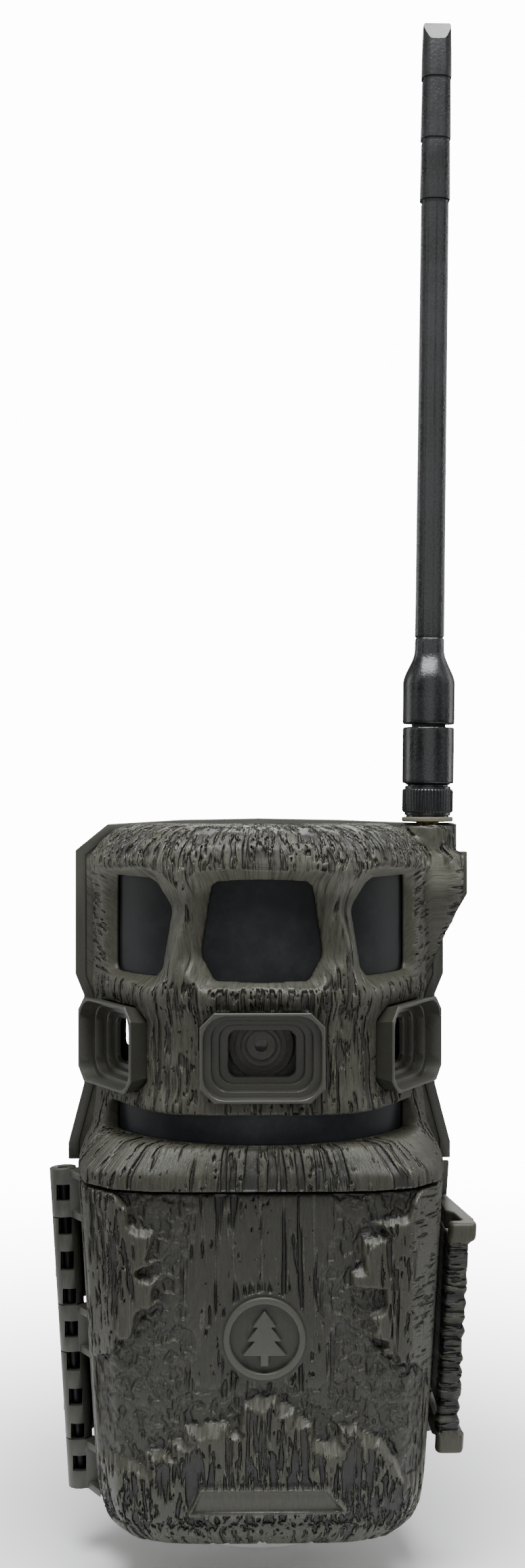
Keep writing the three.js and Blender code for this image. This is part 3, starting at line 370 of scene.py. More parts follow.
def bark_material():
    """Moulded bark: olive plates, pits darkened by dark colouring and painted shade, fine fibres, smoky
    camouflage and painted shade, painted highlights on the ledges, and pale pit rims that are partly wear
    and partly painted highlight.
    """
    material, shader = new_material("bark_camouflage")
    grain = attribute(shader, "grain").outputs["Vector"]
    layers = (attribute(shader, name).outputs["Fac"] for name in LAYERS)
    across, pebbly, textured, worn, sooty, dense = layers
    height = blended(textured, 1.0, bark_height(grain, across, pebbly, dense))
    lips = bark_height(grain, across, pebbly, dense, edge=0.085)
    fine_down = noise(stretched(grain, (1, 1, 0.12)), 1.5, detail=4, roughness=0.7)
    fine_around = noise(stretched(grain, (0.15, 0.15, 1)), 1.8, detail=4, roughness=0.7)
    fibres = blended(across, fine_down, fine_around)
    grit = noise(grain, 3.2, detail=2, roughness=0.6)
    smudges = noise(stretched(grain, (1, 1, 0.45)), 0.06, detail=4, roughness=0.6, distortion=0.8)
    olive = mix(ramp(fibres, 0.3, 0.7), OLIVE_DARK, OLIVE_LIGHT)
    smoke = times(ramp(smudges, 0.5, 0.7, 0.0, 0.45), textured)
    # smoky camouflage at random, darkened further by the layer of dark colouring and painted shade
    plates = mix(maths("MAXIMUM", smoke, sooty), olive, SMOKE_AND_SHADE)
    # the pits: dark colouring and painted shade, darkest where they lie dense
    pit_paint_and_shade = ramp(dense, 0.5, 1.0, 0.66, 0.92)
    deep = maths("SUBTRACT", pit_paint_and_shade, times(ramp(height, 0.0, 0.9), pit_paint_and_shade))
    pitted = mix(times(deep, blended(pebbly, 1.0, 0.25)), plates, PIT)
    # pale rims round the pits: partly wear, partly a painted highlight on their edges
    rim = times(ramp(height, 0.6, 0.95), ramp(lips, 0.95, 0.70))
    rim = times(times(rim, ramp(grit, 0.4, 0.6, 0.1, 0.55)), textured)
    outlined = mix(rim, pitted, PALE)
    # painted light: a pale lift, streaked along the fibres
    painted_light_streaks = times(worn, ramp(fibres, 0.3, 0.6, 0.15, 1.0))
    rough = maths("ADD", ramp(fibres, 0.2, 0.8, 0.30, 0.46), ramp(dense, 0.6, 1.0, 0.08, -0.02))
    feed(shader, Base_Color=mix(painted_light_streaks, outlined, PALE), Roughness=rough, Specular_IOR_Level=0.36)
    normal = None
    for relief, depth, strength in (
        (height, 0.35, 1.0),
        (blended(textured, 1.0, lips), 0.5, 1.0),
        (blended(textured, 0.5, fibres), 0.40, 1.0),
        (grit, 0.07, 0.8),
    ):
        normal = bump(shader, relief, depth * MM, strength, normal)
    return material


def bark_tree():
    """A geometry node tree that stores the bark relief's height on each vertex."""
    tree = bpy.data.node_groups.new("bark_pattern", "GeometryNodeTree")
    tree.interface.new_socket("Geometry", in_out="INPUT", socket_type="NodeSocketGeometry")
    tree.interface.new_socket("Geometry", in_out="OUTPUT", socket_type="NodeSocketGeometry")
    start = tree.nodes.new("NodeGroupInput")
    end = tree.nodes.new("NodeGroupOutput")
    sources = []
    for name in ("grain", "across", "pebbly", "dense"):
        source = tree.nodes.new("GeometryNodeInputNamedAttribute")
        source.data_type = "FLOAT_VECTOR" if name == "grain" else "FLOAT"
        source.inputs["Name"].default_value = name
        sources.append(source.outputs["Attribute"])
    store = tree.nodes.new("GeometryNodeStoreNamedAttribute")
    store.data_type = "FLOAT"
    store.domain = "POINT"
    store.inputs["Name"].default_value = "height"
    feed(store, Geometry=start.outputs[0], Value=bark_height(*sources))
    plug(end.inputs[0], store.outputs[0])
    return tree


def read_vectors(source, key):
    values = np.zeros(len(source) * 3, np.float32)
    source.foreach_get(key, values)
    return values.reshape(-1, 3).astype(float)


def write_attribute(mesh, name, values):
    """Stores a number or a vector on each vertex."""
    kind, key = ("FLOAT_VECTOR", "vector") if values.ndim == 2 else ("FLOAT", "value")
    layer = mesh.attributes.new(name, kind, "POINT")
    layer.data.foreach_set(key, values.astype(np.float32).ravel())


def move_points(mesh, points):
    mesh.vertices.foreach_set("co", points.astype(np.float32).ravel())
    mesh.update()


def value_noise(x, y, seed):
    """Smooth noise from 0 to 1 with a cell of 1."""
    column = np.floor(x).astype(np.int64)
    row = np.floor(y).astype(np.int64)
    u = ease(0, 1, x - column)
    v = ease(0, 1, y - row)

    def corner(i, j):
        mixed = (i * 374761393 + j * 668265263 + seed * 974634777) & 0xFFFFFFFF
        mixed = ((mixed ^ (mixed >> 13)) * 1274126177) & 0xFFFFFFFF
        return ((mixed ^ (mixed >> 16)) & 0xFFFF) / 65535

    low = corner(column, row) * (1 - u) + corner(column + 1, row) * u
    high = corner(column, row + 1) * (1 - u) + corner(column + 1, row + 1) * u
    return low * (1 - v) + high * v


def head_grain(points):
    """Coordinates in millimetres on the round head, whose fibres run on over its brow and its skirt."""
    radius = np.hypot(points[:, 0], points[:, 1]) + 1e-9
    circle = points[:, :2] / radius[:, None] * GRAIN_RADIUS
    down = points[:, 2] / MM - 0.8 * np.minimum(radius / MM, 48)
    return np.column_stack([circle, down])


def case_grain(points):
    """Coordinates in millimetres on the case, whose fibres run on round its lower edge."""
    x, y, z = points.T / MM
    near = np.maximum(np.maximum(np.abs(x) / 47, np.abs(y) / 44), 0.05)
    under = ease(11, 7, z)
    spread = 1 + (1 / near - 1) * under
    return np.column_stack([x * spread, y * spread, z - 45 * (1 - near) * under])


def outward(points, normals):
    """How far each normal faces away from the body's axis, or up on its roof."""
    radius = np.hypot(points[:, 0], points[:, 1]) + 1e-9
    away = (points[:, 0] * normals[:, 0] + points[:, 1] * normals[:, 1]) / radius
    upper = np.maximum(normals[:, 2], 0)
    height = points[:, 2]
    roof = np.where((height > 0.17) | (height > 0.093) & (height < 0.105), upper, 0)
    floor = np.where(height < 0.02, np.maximum(-normals[:, 2], 0) * 0.8, 0)
    return np.maximum(away, 0) + roof + floor


def remeshed(node, voxel, keep, without):
    """A fine, even mesh of a CAD node with its facets smoothed away, but not where `keep` is 1."""
    piece = copy_of(node, node + "_look")
    for cutter in without:
        boolean(piece, cutter, "DIFFERENCE")
    remesh = piece.modifiers.new("even", "REMESH")
    remesh.mode = "VOXEL"
    remesh.voxel_size = voxel
    apply_modifiers(piece)
    points = read_vectors(piece.data.vertices, "co")
    group = piece.vertex_groups.new(name="smooth")
    levels = np.round(1 - keep(points), 1)
    for level in np.unique(levels):
        group.add(np.nonzero(levels == level)[0].tolist(), float(level), "REPLACE")
    for rounds, where in ((36, "smooth"), (2, "")):
        smooth = piece.modifiers.new("smooth", "SMOOTH")
        smooth.iterations = rounds
        smooth.vertex_group = where
    apply_modifiers(piece)
    piece.vertex_groups.clear()
    return piece


class Relief:
    """What is known about each vertex of a bark shell before its fibres are carved."""

    def __init__(self, mesh):
        self.points = read_vectors(mesh.vertices, "co")
        self.normals = read_vectors(mesh.vertex_normals, "vector")
        self.x, self.y, self.z = self.points.T / MM
        self.shift = np.zeros_like(self.points)  # millimetres
        for name in LAYERS:
            setattr(self, name, np.zeros(len(self.points)))
        self.textured = ease(0.45, 0.75, outward(self.points, self.normals))


def bark_shell(node, body, sculpt, keep, grain=None, voxel=VOXEL, depth=BARK_DEPTH, without=()):
    """Carves the bark into a copy of a CAD node. `sculpt` fills in the relief of its large forms."""
    piece = remeshed(node, voxel, keep, without)
    mesh = piece.data
    relief = Relief(mesh)
    sculpt(relief)
    points = relief.points + relief.shift * MM
    move_points(mesh, points)
    normals = read_vectors(mesh.vertex_normals, "vector")
    coords = grain(relief.points) if grain else relief.points / MM
    write_attribute(mesh, "grain", coords)
    for name in LAYERS:
        write_attribute(mesh, name, getattr(relief, name))
    pattern = piece.modifiers.new("pattern", "NODES")
    pattern.node_group = BARK_TREE
    apply_modifiers(piece)
    mesh = piece.data
    height = np.zeros(len(points), np.float32)
    mesh.attributes["height"].data.foreach_get("value", height)
    depths = depth * (1 - 0.35 * relief.pebbly)
    move_points(mesh, points + normals * ((height - 1) * relief.textured * depths)[:, None])
    mesh.attributes.remove(mesh.attributes["height"])
    mesh.shade_smooth()
    place(piece, BARK, body, node)


# ---- plastics, metals and glass
def moulded(name, color, roughness, grain_size=0.35, specular=0.5, speckle=0.12, grain=1.0):
    """Spark-eroded moulded plastic: a fine grain, faint mottling and slightly uneven gloss."""
    material, shader = new_material(name)
    coords = object_coords(shader)
    fine = noise(coords, 1 / (grain_size * MM), detail=2, roughness=0.6)
    broad = noise(coords, 1 / (14 * MM))
    dark = tuple(c * (1 - speckle) for c in color)
    light = tuple(c * (1 + speckle) for c in color)
    tone = maths("ADD", times(fine, 0.6), times(broad, 0.4))
    gloss = ramp(broad, 0.3, 0.7, roughness - 0.04, roughness + 0.06)
    base = mix(ramp(tone, 0.35, 0.65), dark, light)
    feed(shader, Base_Color=base, Roughness=gloss, Specular_IOR_Level=specular)
    bump(shader, fine, 0.05 * MM * grain, 0.7)
    return material


def polished(name, color, roughness=0.06, coat=0.6, specular=0.5):
    """Dark glossy plastic with faint dust and polishing unevenness."""
    material, shader = new_material(name)
    haze = noise(object_coords(shader), 1 / (9 * MM), detail=5, roughness=0.7)
    light = tuple(c * 1.6 + 0.002 for c in color)
    feed(
        shader,
        Base_Color=mix(ramp(haze, 0.35, 0.75), color, light),
        Roughness=ramp(haze, 0.3, 0.8, roughness, roughness + 0.08),
        Coat_Weight=coat,
        Coat_Roughness=0.05,
        Specular_IOR_Level=specular,
    )
    bump(shader, haze, 0.01 * MM, 0.2)
    return material


def clear_cover(name, color, roughness, alpha):
    """A thin clear cover: what is behind it shows, under a faint film of dust."""
    material, shader = new_material(name)
    dust = noise(object_coords(shader), 1 / (2 * MM), detail=5, roughness=0.75)
    feed(
        shader,
        Base_Color=mix(ramp(dust, 0.6, 0.8), color, (0.05, 0.05, 0.05)),
        Roughness=ramp(dust, 0.5, 0.8, roughness, roughness + 0.08),
        Alpha=ramp(dust, 0.5, 0.9, alpha, alpha + 0.08),
    )
    return material


def coated_glass(name):
    """A lens's front surface: dark, with a painted faint red and green reflection in its middle and a
    painted bluish reflection at glancing view.
    """
    material, shader = new_material(name)
    facing = new_node(shader, "LayerWeight")
    feed(facing, Blend=0.35)
    swirl = noise(object_coords(shader), 1 / (1.5 * MM), detail=2)
    # painted reflection: red and green in the middle, bluish at glancing view
    middle = mix(ramp(swirl, 0.4, 0.6), (0.030, 0.009, 0.005), (0.006, 0.010, 0.008))
    edge = ramp(facing.outputs["Facing"], 0.15, 0.7)
    base = mix(edge, middle, (0.004, 0.005, 0.010))
    feed(shader, Base_Color=base, Roughness=0.04, Coat_Weight=0.15, Coat_Roughness=0.05)
    return material


def metal(name, color, roughness):
    """Machined metal with fine tool marks along one direction."""
    material, shader = new_material(name)
    coords = object_coords(shader)
    marks = noise(stretched(coords, (1, 1, 14)), 1 / (11.2 * MM), detail=4, roughness=0.7)
    tarnish = noise(coords, 1 / (3 * MM), detail=4)
    dull = tuple(c * 0.62 for c in color)
    feed(
        shader,
        Base_Color=mix(ramp(tarnish, 0.3, 0.6), dull, color),
        Roughness=ramp(marks, 0.3, 0.7, roughness - 0.06, roughness + 0.1),
        Metallic=1.0,
    )
    bump(shader, marks, 0.01 * MM, 0.5)
    return material


def circuit_board(name):
    """Green solder mask over a rectangular pattern of copper tracks."""
    material, shader = new_material(name)
    coords = object_coords(shader)
    tracks = new_node(shader, "TexBrick")
    feed(tracks, Vector=coords, Scale=1 / (6 * MM), Mortar_Size=0.012)
    feed(tracks, Color1=(0, 0, 0, 1), Color2=(0.2, 0.2, 0.2, 1), Mortar=(1, 1, 1, 1))
    mask = mix(tracks.outputs["Color"], (0.010, 0.055, 0.022), (0.03, 0.14, 0.055))
    mottle = noise(coords, 1 / (1.5 * MM))
    base = mix(ramp(mottle, 0.55, 0.75), mask, (0.02, 0.09, 0.04))
    feed(shader, Base_Color=base, Roughness=ramp(mottle, 0.3, 0.7, 0.28, 0.42))
    bump(shader, tracks.outputs["Fac"], 0.03 * MM, 0.5)
    return material


def cell_sleeve(name):
    """A battery's plain shrink sleeve: blue, with a pale grey band at the positive end."""
    material, shader = new_material(name)
    coords = object_coords(shader)
    split = new_node(shader, "SeparateXYZ")
    plug(split.inputs[0], coords)
    band = ramp(split.outputs["Z"], 53.0 * MM, 53.3 * MM)
    wrinkle = noise(coords, 1 / (4 * MM))
    sleeve = mix(ramp(wrinkle, 0.3, 0.7), (0.020, 0.075, 0.180), (0.030, 0.100, 0.230))
    base = mix(band, sleeve, (0.42, 0.43, 0.44))
    feed(shader, Base_Color=base, Roughness=ramp(wrinkle, 0.3, 0.7, 0.22, 0.34))
    bump(shader, wrinkle, 0.05 * MM, 0.3)
    return material


BARK = bark_material()
BARK_TREE = bark_tree()
OLIVE = moulded("olive_plastic", (0.0295, 0.0297, 0.0228), 0.46)
BLACK = moulded("black_plastic", (0.010, 0.0105, 0.011), 0.42)
LENS_COLLAR = moulded("lens_collar", (0.16, 0.148, 0.125), 0.4, specular=0.4)
LENS_BLACK = moulded("lens_black", (0.082, 0.078, 0.068), 0.35, specular=0.4)
ANTENNA = moulded("antenna_plastic", (0.0070, 0.0076, 0.0081), 0.30, grain_size=0.7, speckle=0.6, grain=2.2)
SEAL = moulded("seal_rubber", (0.115, 0.110, 0.078), 0.6, grain_size=0.6, specular=0.35)
RUBBER = moulded("soft_rubber", (0.008, 0.008, 0.0085), 0.75, grain_size=0.6, specular=0.3)
WHITE = moulded("gear_plastic", (0.55, 0.55, 0.52), 0.45)
SMOKED = polished("smoked_window", (0.0122, 0.0132, 0.0138), roughness=0.5, coat=0.0, specular=0.12)
BAND = polished("sensor_band", (0.0170, 0.0190, 0.0212), roughness=0.5, coat=0.0, specular=0.15)
SCREEN = polished("display_glass", (0.006, 0.008, 0.007))
CLEAR = clear_cover("lens_window", (0.030, 0.030, 0.026), 0.2, 0.14)
LENS = coated_glass("lens_glass")
STEEL = metal("steel", (0.56, 0.57, 0.58), 0.30)
BLUED = metal("blued_steel", (0.020, 0.020, 0.022), 0.35)
BRASS = metal("brass", (0.70, 0.52, 0.24), 0.28)
BOARD = circuit_board("circuit_board")
SLEEVE = cell_sleeve("cell_sleeve")


# ---- the bark shells
# Outlines of the door's three raised slabs of bark, in millimetres across and up its front.
LEFT_SLAB = [
    (-39.7, 97), (-33.7, 89.9), (-33.3, 85), (-26.8, 83.6), (-27.3, 81), (-28.6, 76.5), (-25.2, 76.2),
    (-30.9, 73.6), (-31.3, 72.5), (-25.6, 72.2), (-26.8, 70), (-27.2, 66.5), (-25, 65.8), (-31, 62.9),
    (-33.1, 56), (-35.8, 55.5), (-37.4, 51.5), (-42, 49.4), (-70, 49), (-70, 97),
]
RIGHT_SLAB = [
    (41.6, 97), (37.9, 90.3), (36.7, 87), (27.5, 85.8), (31.5, 82.8), (25.4, 82), (24.9, 77),
    (25.6, 74.8), (21.9, 73.4), (22.3, 69.6), (30.6, 68.6), (30.7, 64.3), (26.2, 62.6), (28.2, 59.2),
    (26.4, 57.4), (31.2, 55.2), (27.8, 52.6), (34, 51.9), (34, 49.4), (38.6, 48.9), (40.5, 45),
    (70, 44), (70, 97),
]
LOWER_SLAB = [
    (-70, 24), (-37, 26.2), (-33, 25.6), (-29.6, 24), (-29.4, 28.3), (-24.3, 28.6), (-23, 27),
    (-22.8, 31), (-19.8, 31.5), (-19.6, 34.9), (-9, 36), (-7.5, 33), (-6.3, 34), (-4.9, 40.8),
    (-2, 42.2), (3.6, 42.3), (4.2, 40.8), (8.1, 39.8), (8.7, 37.6), (12.6, 35.6), (13.2, 31.5),
    (15, 30.5), (18.6, 31), (19.2, 35), (23.9, 34.8), (25, 32.8), (30, 31.2), (34, 25), (36, 20),
    (70, 18), (70, -9), (-70, -9),
]
NAMEPLATE = [(-15.4, 18.8), (16.2, 18.8), (20.6, 13.4), (-18.0, 13.0)]
SLAB_HEIGHT = 2.3  # of the slabs above the door's middle, in millimetres
BADGE_X, BADGE_Z = 0.5, 56.9


def outline_distance(x, z, outline):
    """Distance to a closed outline, positive inside, and how far its nearest edge faces up.

    An edge that faces straight up gives 1, and one that faces straight down gives -1.
    """
    nearest = np.full(len(x), 1e9)
    facing = np.zeros(len(x))
    inside = np.zeros(len(x), bool)
    area = sum(a[0] * b[1] - b[0] * a[1] for a, b in zip(outline, outline[1:] + outline[:1]))
    for (ax, az), (bx, bz) in zip(outline, outline[1:] + outline[:1]):
        dx, dz = bx - ax, bz - az
        along = np.clip(((x - ax) * dx + (z - az) * dz) / (dx * dx + dz * dz), 0, 1)
        distance = np.hypot(x - ax - dx * along, z - az - dz * along)
        closer = distance < nearest
        nearest[closer] = distance[closer]
        up = -dx / math.hypot(dx, dz) if area > 0 else dx / math.hypot(dx, dz)
        facing[closer] = up
        crosses = (az > z) != (bz > z)
        with np.errstate(divide="ignore", invalid="ignore"):
            inside ^= crosses & (x < ax + (z - az) * dx / (dz if dz else 1e-9))
    return np.where(inside, nearest, -nearest), facing


def slab(relief, outline, ledge, seed):
    """How far up a slab's edge each vertex is, 0 to 1, the painted highlight on its upward ledges, its lip,
    and the painted shade at its foot.
    """
    x, z = relief.x, relief.z
    ragged_x = x + (value_noise(z * 0.6, x * 0.15, seed) - 0.5) * 0.6
    ragged_z = z + (value_noise(x * 0.7, z * 0.1, seed + 1) - 0.5) * 0.7
    distance, facing = outline_distance(ragged_x, ragged_z, outline)
    width = np.where(facing > 0, 1.0 + (ledge - 1.0) * facing**2, 1.0 - 0.3 * facing**2)
    level = np.clip(distance / width, 0, 1)
    on_ledge = (distance > 0) & (distance < width * 1.02)
    # the edges that face up: they get a painted highlight, and stripes in their shape
    pale = on_ledge * ease(0.35, 0.8, facing)
    lip = ease(1.1, 0.3, np.abs(distance - width))
    # painted shade just outside the slab's edge, stronger where the edge faces up or down
    shade = ease(-4.5, -0.2, distance) * (distance < 0) * (0.5 + 0.5 * (np.abs(facing) > 0.5))
    return level, pale, lip, shade


def sculpt_door(relief):
    """Three slabs of bark stand round a sunken middle, with a blank plate low on the front."""
    x, z = relief.x, relief.z
    front = ease(-34, -42, relief.y)
    slabs = [
        slab(relief, outline, ledge, seed)
        for outline, ledge, seed in ((LEFT_SLAB, 1.8, 3), (RIGHT_SLAB, 1.8, 11), (LOWER_SLAB, 3.6, 23))
    ]
    level, pale, lip, shade = np.maximum.reduce(slabs)
    shade = shade * (level <= 0)
    plate, _ = outline_distance(x, z, NAMEPLATE)

    # shape: millimetres that the front is sunk, evenly on its inside
    striped = value_noise(x * 0.95, z * 0.12, 5) * pale * (np.abs(x) < 38)
    sunk = SLAB_HEIGHT * (1 - level) + 0.6 * striped + 0.6 * ease(-0.1, 0.5, plate)
    sunk -= 0.45 * ease(1.1, 0.5, np.abs(plate + 0.7))
    inside = ease(0.3, 0.1, outward(relief.points, relief.normals))
    relief.shift[:, 1] = (sunk * (1 - inside) + SLAB_HEIGHT * inside) * front

    # where the bark is scales, and where there is none
    middle = np.clip(1 - level * 3, 0, 1)
    sides = ease(16, 20, np.abs(x + 1 + 2 * np.sin(z * 0.2))) + ease(46, 42, z)
    relief.pebbly = middle * np.clip(sides, 0, 1) * front
    badge = ease(12.0, 11.2, np.hypot(x - BADGE_X, z - BADGE_Z))
    edge = (level > 0) * ease(1.0, 0.9, level) * 0.9
    plate_level = ease(-0.9, -0.2, plate)
    plain = [on_knuckles(relief), plate_level * front, edge * front, badge * front]
    relief.textured *= 1 - np.maximum.reduce(plain)

    # colour: painted highlights on the upward ledges, the plate's rim and the slabs' lips; painted shade
    # under the slabs, over the whole door, most in its sunken middle, and round the plate; dark streaks at
    # the sides
    # painted highlight on the upward ledges, stronger low on the door
    ledge_highlight = pale * ease(38, 36, np.abs(x)) * ease(0.9, 0.4, striped)
    ledge_highlight *= np.where(z < 45, 0.24, 0.06)
    # painted highlight on the plate's rim and along the slabs' lips
    rim = ease(0.8, 0.3, np.abs(plate + 0.7)) * front
    relief.worn = np.maximum.reduce([ledge_highlight, 0.30 * rim, 0.12 * lip * (np.abs(x) < 38)]) * front
    # painted shade in patches below the slabs, and over the whole door, most in its sunken middle
    patches = ease(0.25, 0.5, value_noise(x * 0.2, z * 0.2, 7))
    shaded = np.maximum(shade * (0.35 + 0.65 * patches), 0.15 + 0.35 * middle)
    margin = ease(41, 45, np.abs(x)) * ease(0.35, 0.6, value_noise(x * 0.5, z * 0.08, 19))
    # painted shade round the plate's foot, inside and outside
    inner_foot = ease(0.5, 0.1, np.abs(plate - 0.3))
    outer_foot = ease(0.6, 0.1, np.abs(plate + 1.9))
    plate_foot = np.maximum(inner_foot, outer_foot)
    relief.sooty = np.maximum.reduce([shaded, 0.6 * margin, 0.7 * plate_foot]) * front

    # the run of the fibres and how close their pits lie
    relief.across = ease(36, 40, x) * ease(42, 50, z) * 0.8
    low = ease(30, 24, z) * ease(5, 11, z)
    plateau = ease(-36, -33, x) * (x < 0) + ease(30, 27, x) * (x > 0)
    relief.dense = low * 0.9 - 0.8 * plateau * (level > 0.5) * (z > 45) - 0.6 * middle


def side_at(z):
    """Half the width of the battery compartment at a height, in millimetres."""
    return 48.2 - (92.9 - z) * 0.0615


def on_knuckles(relief):
    """1 by the hinge's knuckles and the latch's ears, which are plain."""
    beyond = np.abs(relief.x) - side_at(relief.z)
    return ease(0.3, 1.0, beyond) * (relief.z < 92)


def beside(side, gap):
    """A block that holds all that stands out of one side of the battery compartment."""
    top, bottom, far = 96, -6, side * 80
    near_top = side * (side_at(top) + gap)
    near_bottom = side * (side_at(bottom) + gap)
    outline = [(near_top, top), (far, top), (far, bottom), (near_bottom, bottom)]
    return plate("beside", outline, -22, 22, edge=0)


def side_fittings(node, body):
    """The hinge knuckles, latch ears or catch on a shell's sides, with crisp moulded edges."""
    parts = []
    for side in (-1, 1):
        block = beside(side, 0.10)
        parts.append(boolean(copy_of(node, f"{node}_{side}"), block, "INTERSECT"))
        bpy.data.objects.remove(block)
    place(rounded(joined(node + "_fittings", parts), 0.18 * MM), OLIVE, body)


def sculpt_head(relief):
    """Bark all round but for the joint flange, the windows' openings and the sensor band."""
    x, z = relief.x, relief.z
    radius = np.hypot(x, relief.y)
    flange = ease(2.2, 1.5, np.abs(relief.y))
    opening = ease(45.0, 43.8, radius) * (z < 173) * (z > 140)
    band = ease(43.6, 42.8, radius) * (z < 116)
    relief.textured *= 1 - np.maximum.reduce([flange, opening, band])
    relief.across = ease(37, 41, np.abs(x)) * ease(142, 146, z) * ease(174, 171, z)
    brow = ease(172, 175, z)
    skirt = ease(104, 100, z)
    sill = ease(146, 144, z) * ease(136, 139, z) * ease(25, 20, np.abs(x))
    pillar = ease(146, 150, z) * ease(172, 168, z) * (np.abs(x) < 36)
    relief.dense = brow - 0.3 * skirt + sill - 0.7 * pillar
    # painted light: the whole head paler, palest on the lintel above the windows, a little more on the
    # pillars, less on the skirt; painted shade on the skirt
    lintel = ease(166, 170, z) * ease(179, 174, z)
    relief.worn = 0.22 + 0.78 * lintel + 0.16 * pillar - 0.2 * skirt
    relief.sooty = 0.25 * skirt


def sculpt_cover(relief):
    """Bark all over but for the hinge, the strap bridges and the base."""
    bridges = ease(46.2, 46.8, relief.y)
    base = ease(0.6, 0.2, relief.z)
    relief.textured *= 1 - np.maximum.reduce([on_knuckles(relief), bridges, base])


def keep_head(points):
    """1 where the head's shells keep their exact edges: joint, seam, hoods' holes and inside."""
    x, y, z = points.T / MM
    radius = np.hypot(x, y)
    kept = (np.abs(y) < 2.2) | (z < 95.2) | (radius < 42.6) & (z < 182)
    for azimuth in range(0, 360, 60):
        turn = math.radians(azimuth)
        across = x * math.cos(turn) + y * math.sin(turn)
        out = x * math.sin(turn) - y * math.cos(turn)
        kept |= (np.abs(across) < 17.2) & (np.abs(z - LENS_Z) < 13) & (out > 30)
    return kept.astype(float)


def keep_case(points):
    """1 where the door and the cover keep their exact edges: hinge, latch, joint and top."""
    _, y, z = points.T / MM
    kept = (z > 90.4) | (np.abs(y + 5.4) < 2.6) | (y > 45)
    return kept.astype(float)


for shell in ("head_front_shell", "head_rear_shell"):
    bark_shell(shell, "housing", sculpt_head, keep_head, grain=head_grain)
side_blocks = [beside(side, 0.25) for side in (-1, 1)]
bark_shell("battery_door", "door", sculpt_door, keep_case, grain=case_grain, without=side_blocks)
bark_shell("rear_cover", "housing", sculpt_cover, keep_case, grain=case_grain, without=side_blocks)
for block in side_blocks:
    bpy.data.objects.remove(block)
side_fittings("battery_door", "door")
side_fittings("rear_cover", "housing")


def sculpt_latch(relief):
    """Only the lever's grip bar is bark, wrinkled round it."""
    grip = ease(25.6, 27.2, relief.z) * ease(76.4, 74.8, relief.z) * (relief.y < -22)
    ripple = value_noise(relief.z * 0.55, relief.x * 0.1, 31) - 0.5
    relief.shift = relief.normals * (ripple * 0.9 * grip)[:, None]
    relief.textured = grip
    relief.across = grip
    relief.sooty = grip * ease(0.25, 0.5, value_noise(relief.z * 0.45, relief.x * 0.35, 8))


def keep_latch(points):
    """1 where the latch lever keeps its exact edges: all but its grip."""
    return (points[:, 1] > -24.5 * MM).astype(float)


bark_shell("latch_lever", "latch", sculpt_latch, keep_latch, voxel=0.35 * MM, depth=0.4 * MM)

FLANGE_LEG = [  # the flange's right leg, from the inside of its top down and up again outside
    (47.9, 143), (45.5, 137), (45.5, 113.3), (49.8, 97), (49.8, 92.2), (52.75, 92.2),
    (52.75, 96.7), (48.5, 112.9), (48.5, 137.5), (50.85, 143.3),
]
FLANGE_OUTLINE = [
    (0, 186.1), (-22, 185.7), (-42, 184.5), (-50.85, 177.3),
    *((-x, z) for x, z in reversed(FLANGE_LEG)),
    (-47.9, 176), (-41, 181.7), (-22, 182.9), (0, 183.3), (22, 182.9), (38, 182.2), (38, 176.9),
    (47.9, 168), (54.6, 168), (54.6, 165.9), (47.9, 154.5),
    *FLANGE_LEG,
    (50.85, 154), (57.5, 165.2), (57.5, 176.9), (54.5, 176.9), (54.5, 184.6), (42, 184.9), (22, 185.7),
]
place(plate("head_flange", FLANGE_OUTLINE, -1.8, 1.25, edge=0.25), OLIVE, "housing")

RING_OUTER, RING_INNER = 10.3, 8.7
HALF_PINE = [(3.1, 2.9), (1.7, 2.9), (4.4, -0.6), (2.5, -0.6), (5.6, -4.2), (1.0, -4.2), (1.0, -6.8)]
PINE = [(0, 7.0), *HALF_PINE, *((-x, z) for x, z in reversed(HALF_PINE))]


def door_badge():
    """A plain ring round a pine tree, raised on the door's middle."""
    back, front = -46.2, -47.8
    profile = [(RING_INNER, 0), (RING_OUTER, 0), (RING_OUTER, 1.6), (RING_INNER, 1.6), (RING_INNER, 0)]
    metres = [(r * MM, h * MM) for r, h in profile]
    ring = lathe("badge_ring", metres, (BADGE_X * MM, back * MM, BADGE_Z * MM), (0, -1, 0), 96)
    outline = [(x + BADGE_X, z + BADGE_Z) for x, z in PINE]
    tree = plate("badge_tree", outline, front, back, edge=0.2)
    place(joined("door_badge", [rounded(ring, 0.2 * MM), tree]), OLIVE, "door")


door_badge()


# ---- hoods and windows
def rect_ring(half, rise, corner, depth, azimuth, chamfer=False):
    """A rectangle with round or chamfered corners that faces out of the body, from millimetres."""
    turn = math.radians(azimuth)
    radius = HOOD_RADIUS - depth
    ring = []
    for quarter, (side, upper) in enumerate(((1, 1), (-1, 1), (-1, -1), (1, -1))):
        for i in range(6):
            across, up = corner_point(quarter, i / 5, chamfer)
            across = (half - corner) * side + corner * across
            up = (rise - corner) * upper + corner * up
            out = Vector((radius * math.sin(turn), -radius * math.cos(turn), LENS_Z + up))
            sideways = Vector((across * math.cos(turn), across * math.sin(turn), 0))
            ring.append((out + sideways) * MM)
    return ring


def corner_point(quarter, t, chamfer):
    """A point on a quarter of the unit circle, or on the straight line between the quarter's ends."""
    across, up = (1 - t, t) if chamfer else (math.cos(math.pi / 2 * t), math.sin(math.pi / 2 * t))
    return ((across, up), (-up, across), (-across, -up), (up, -across))[quarter]


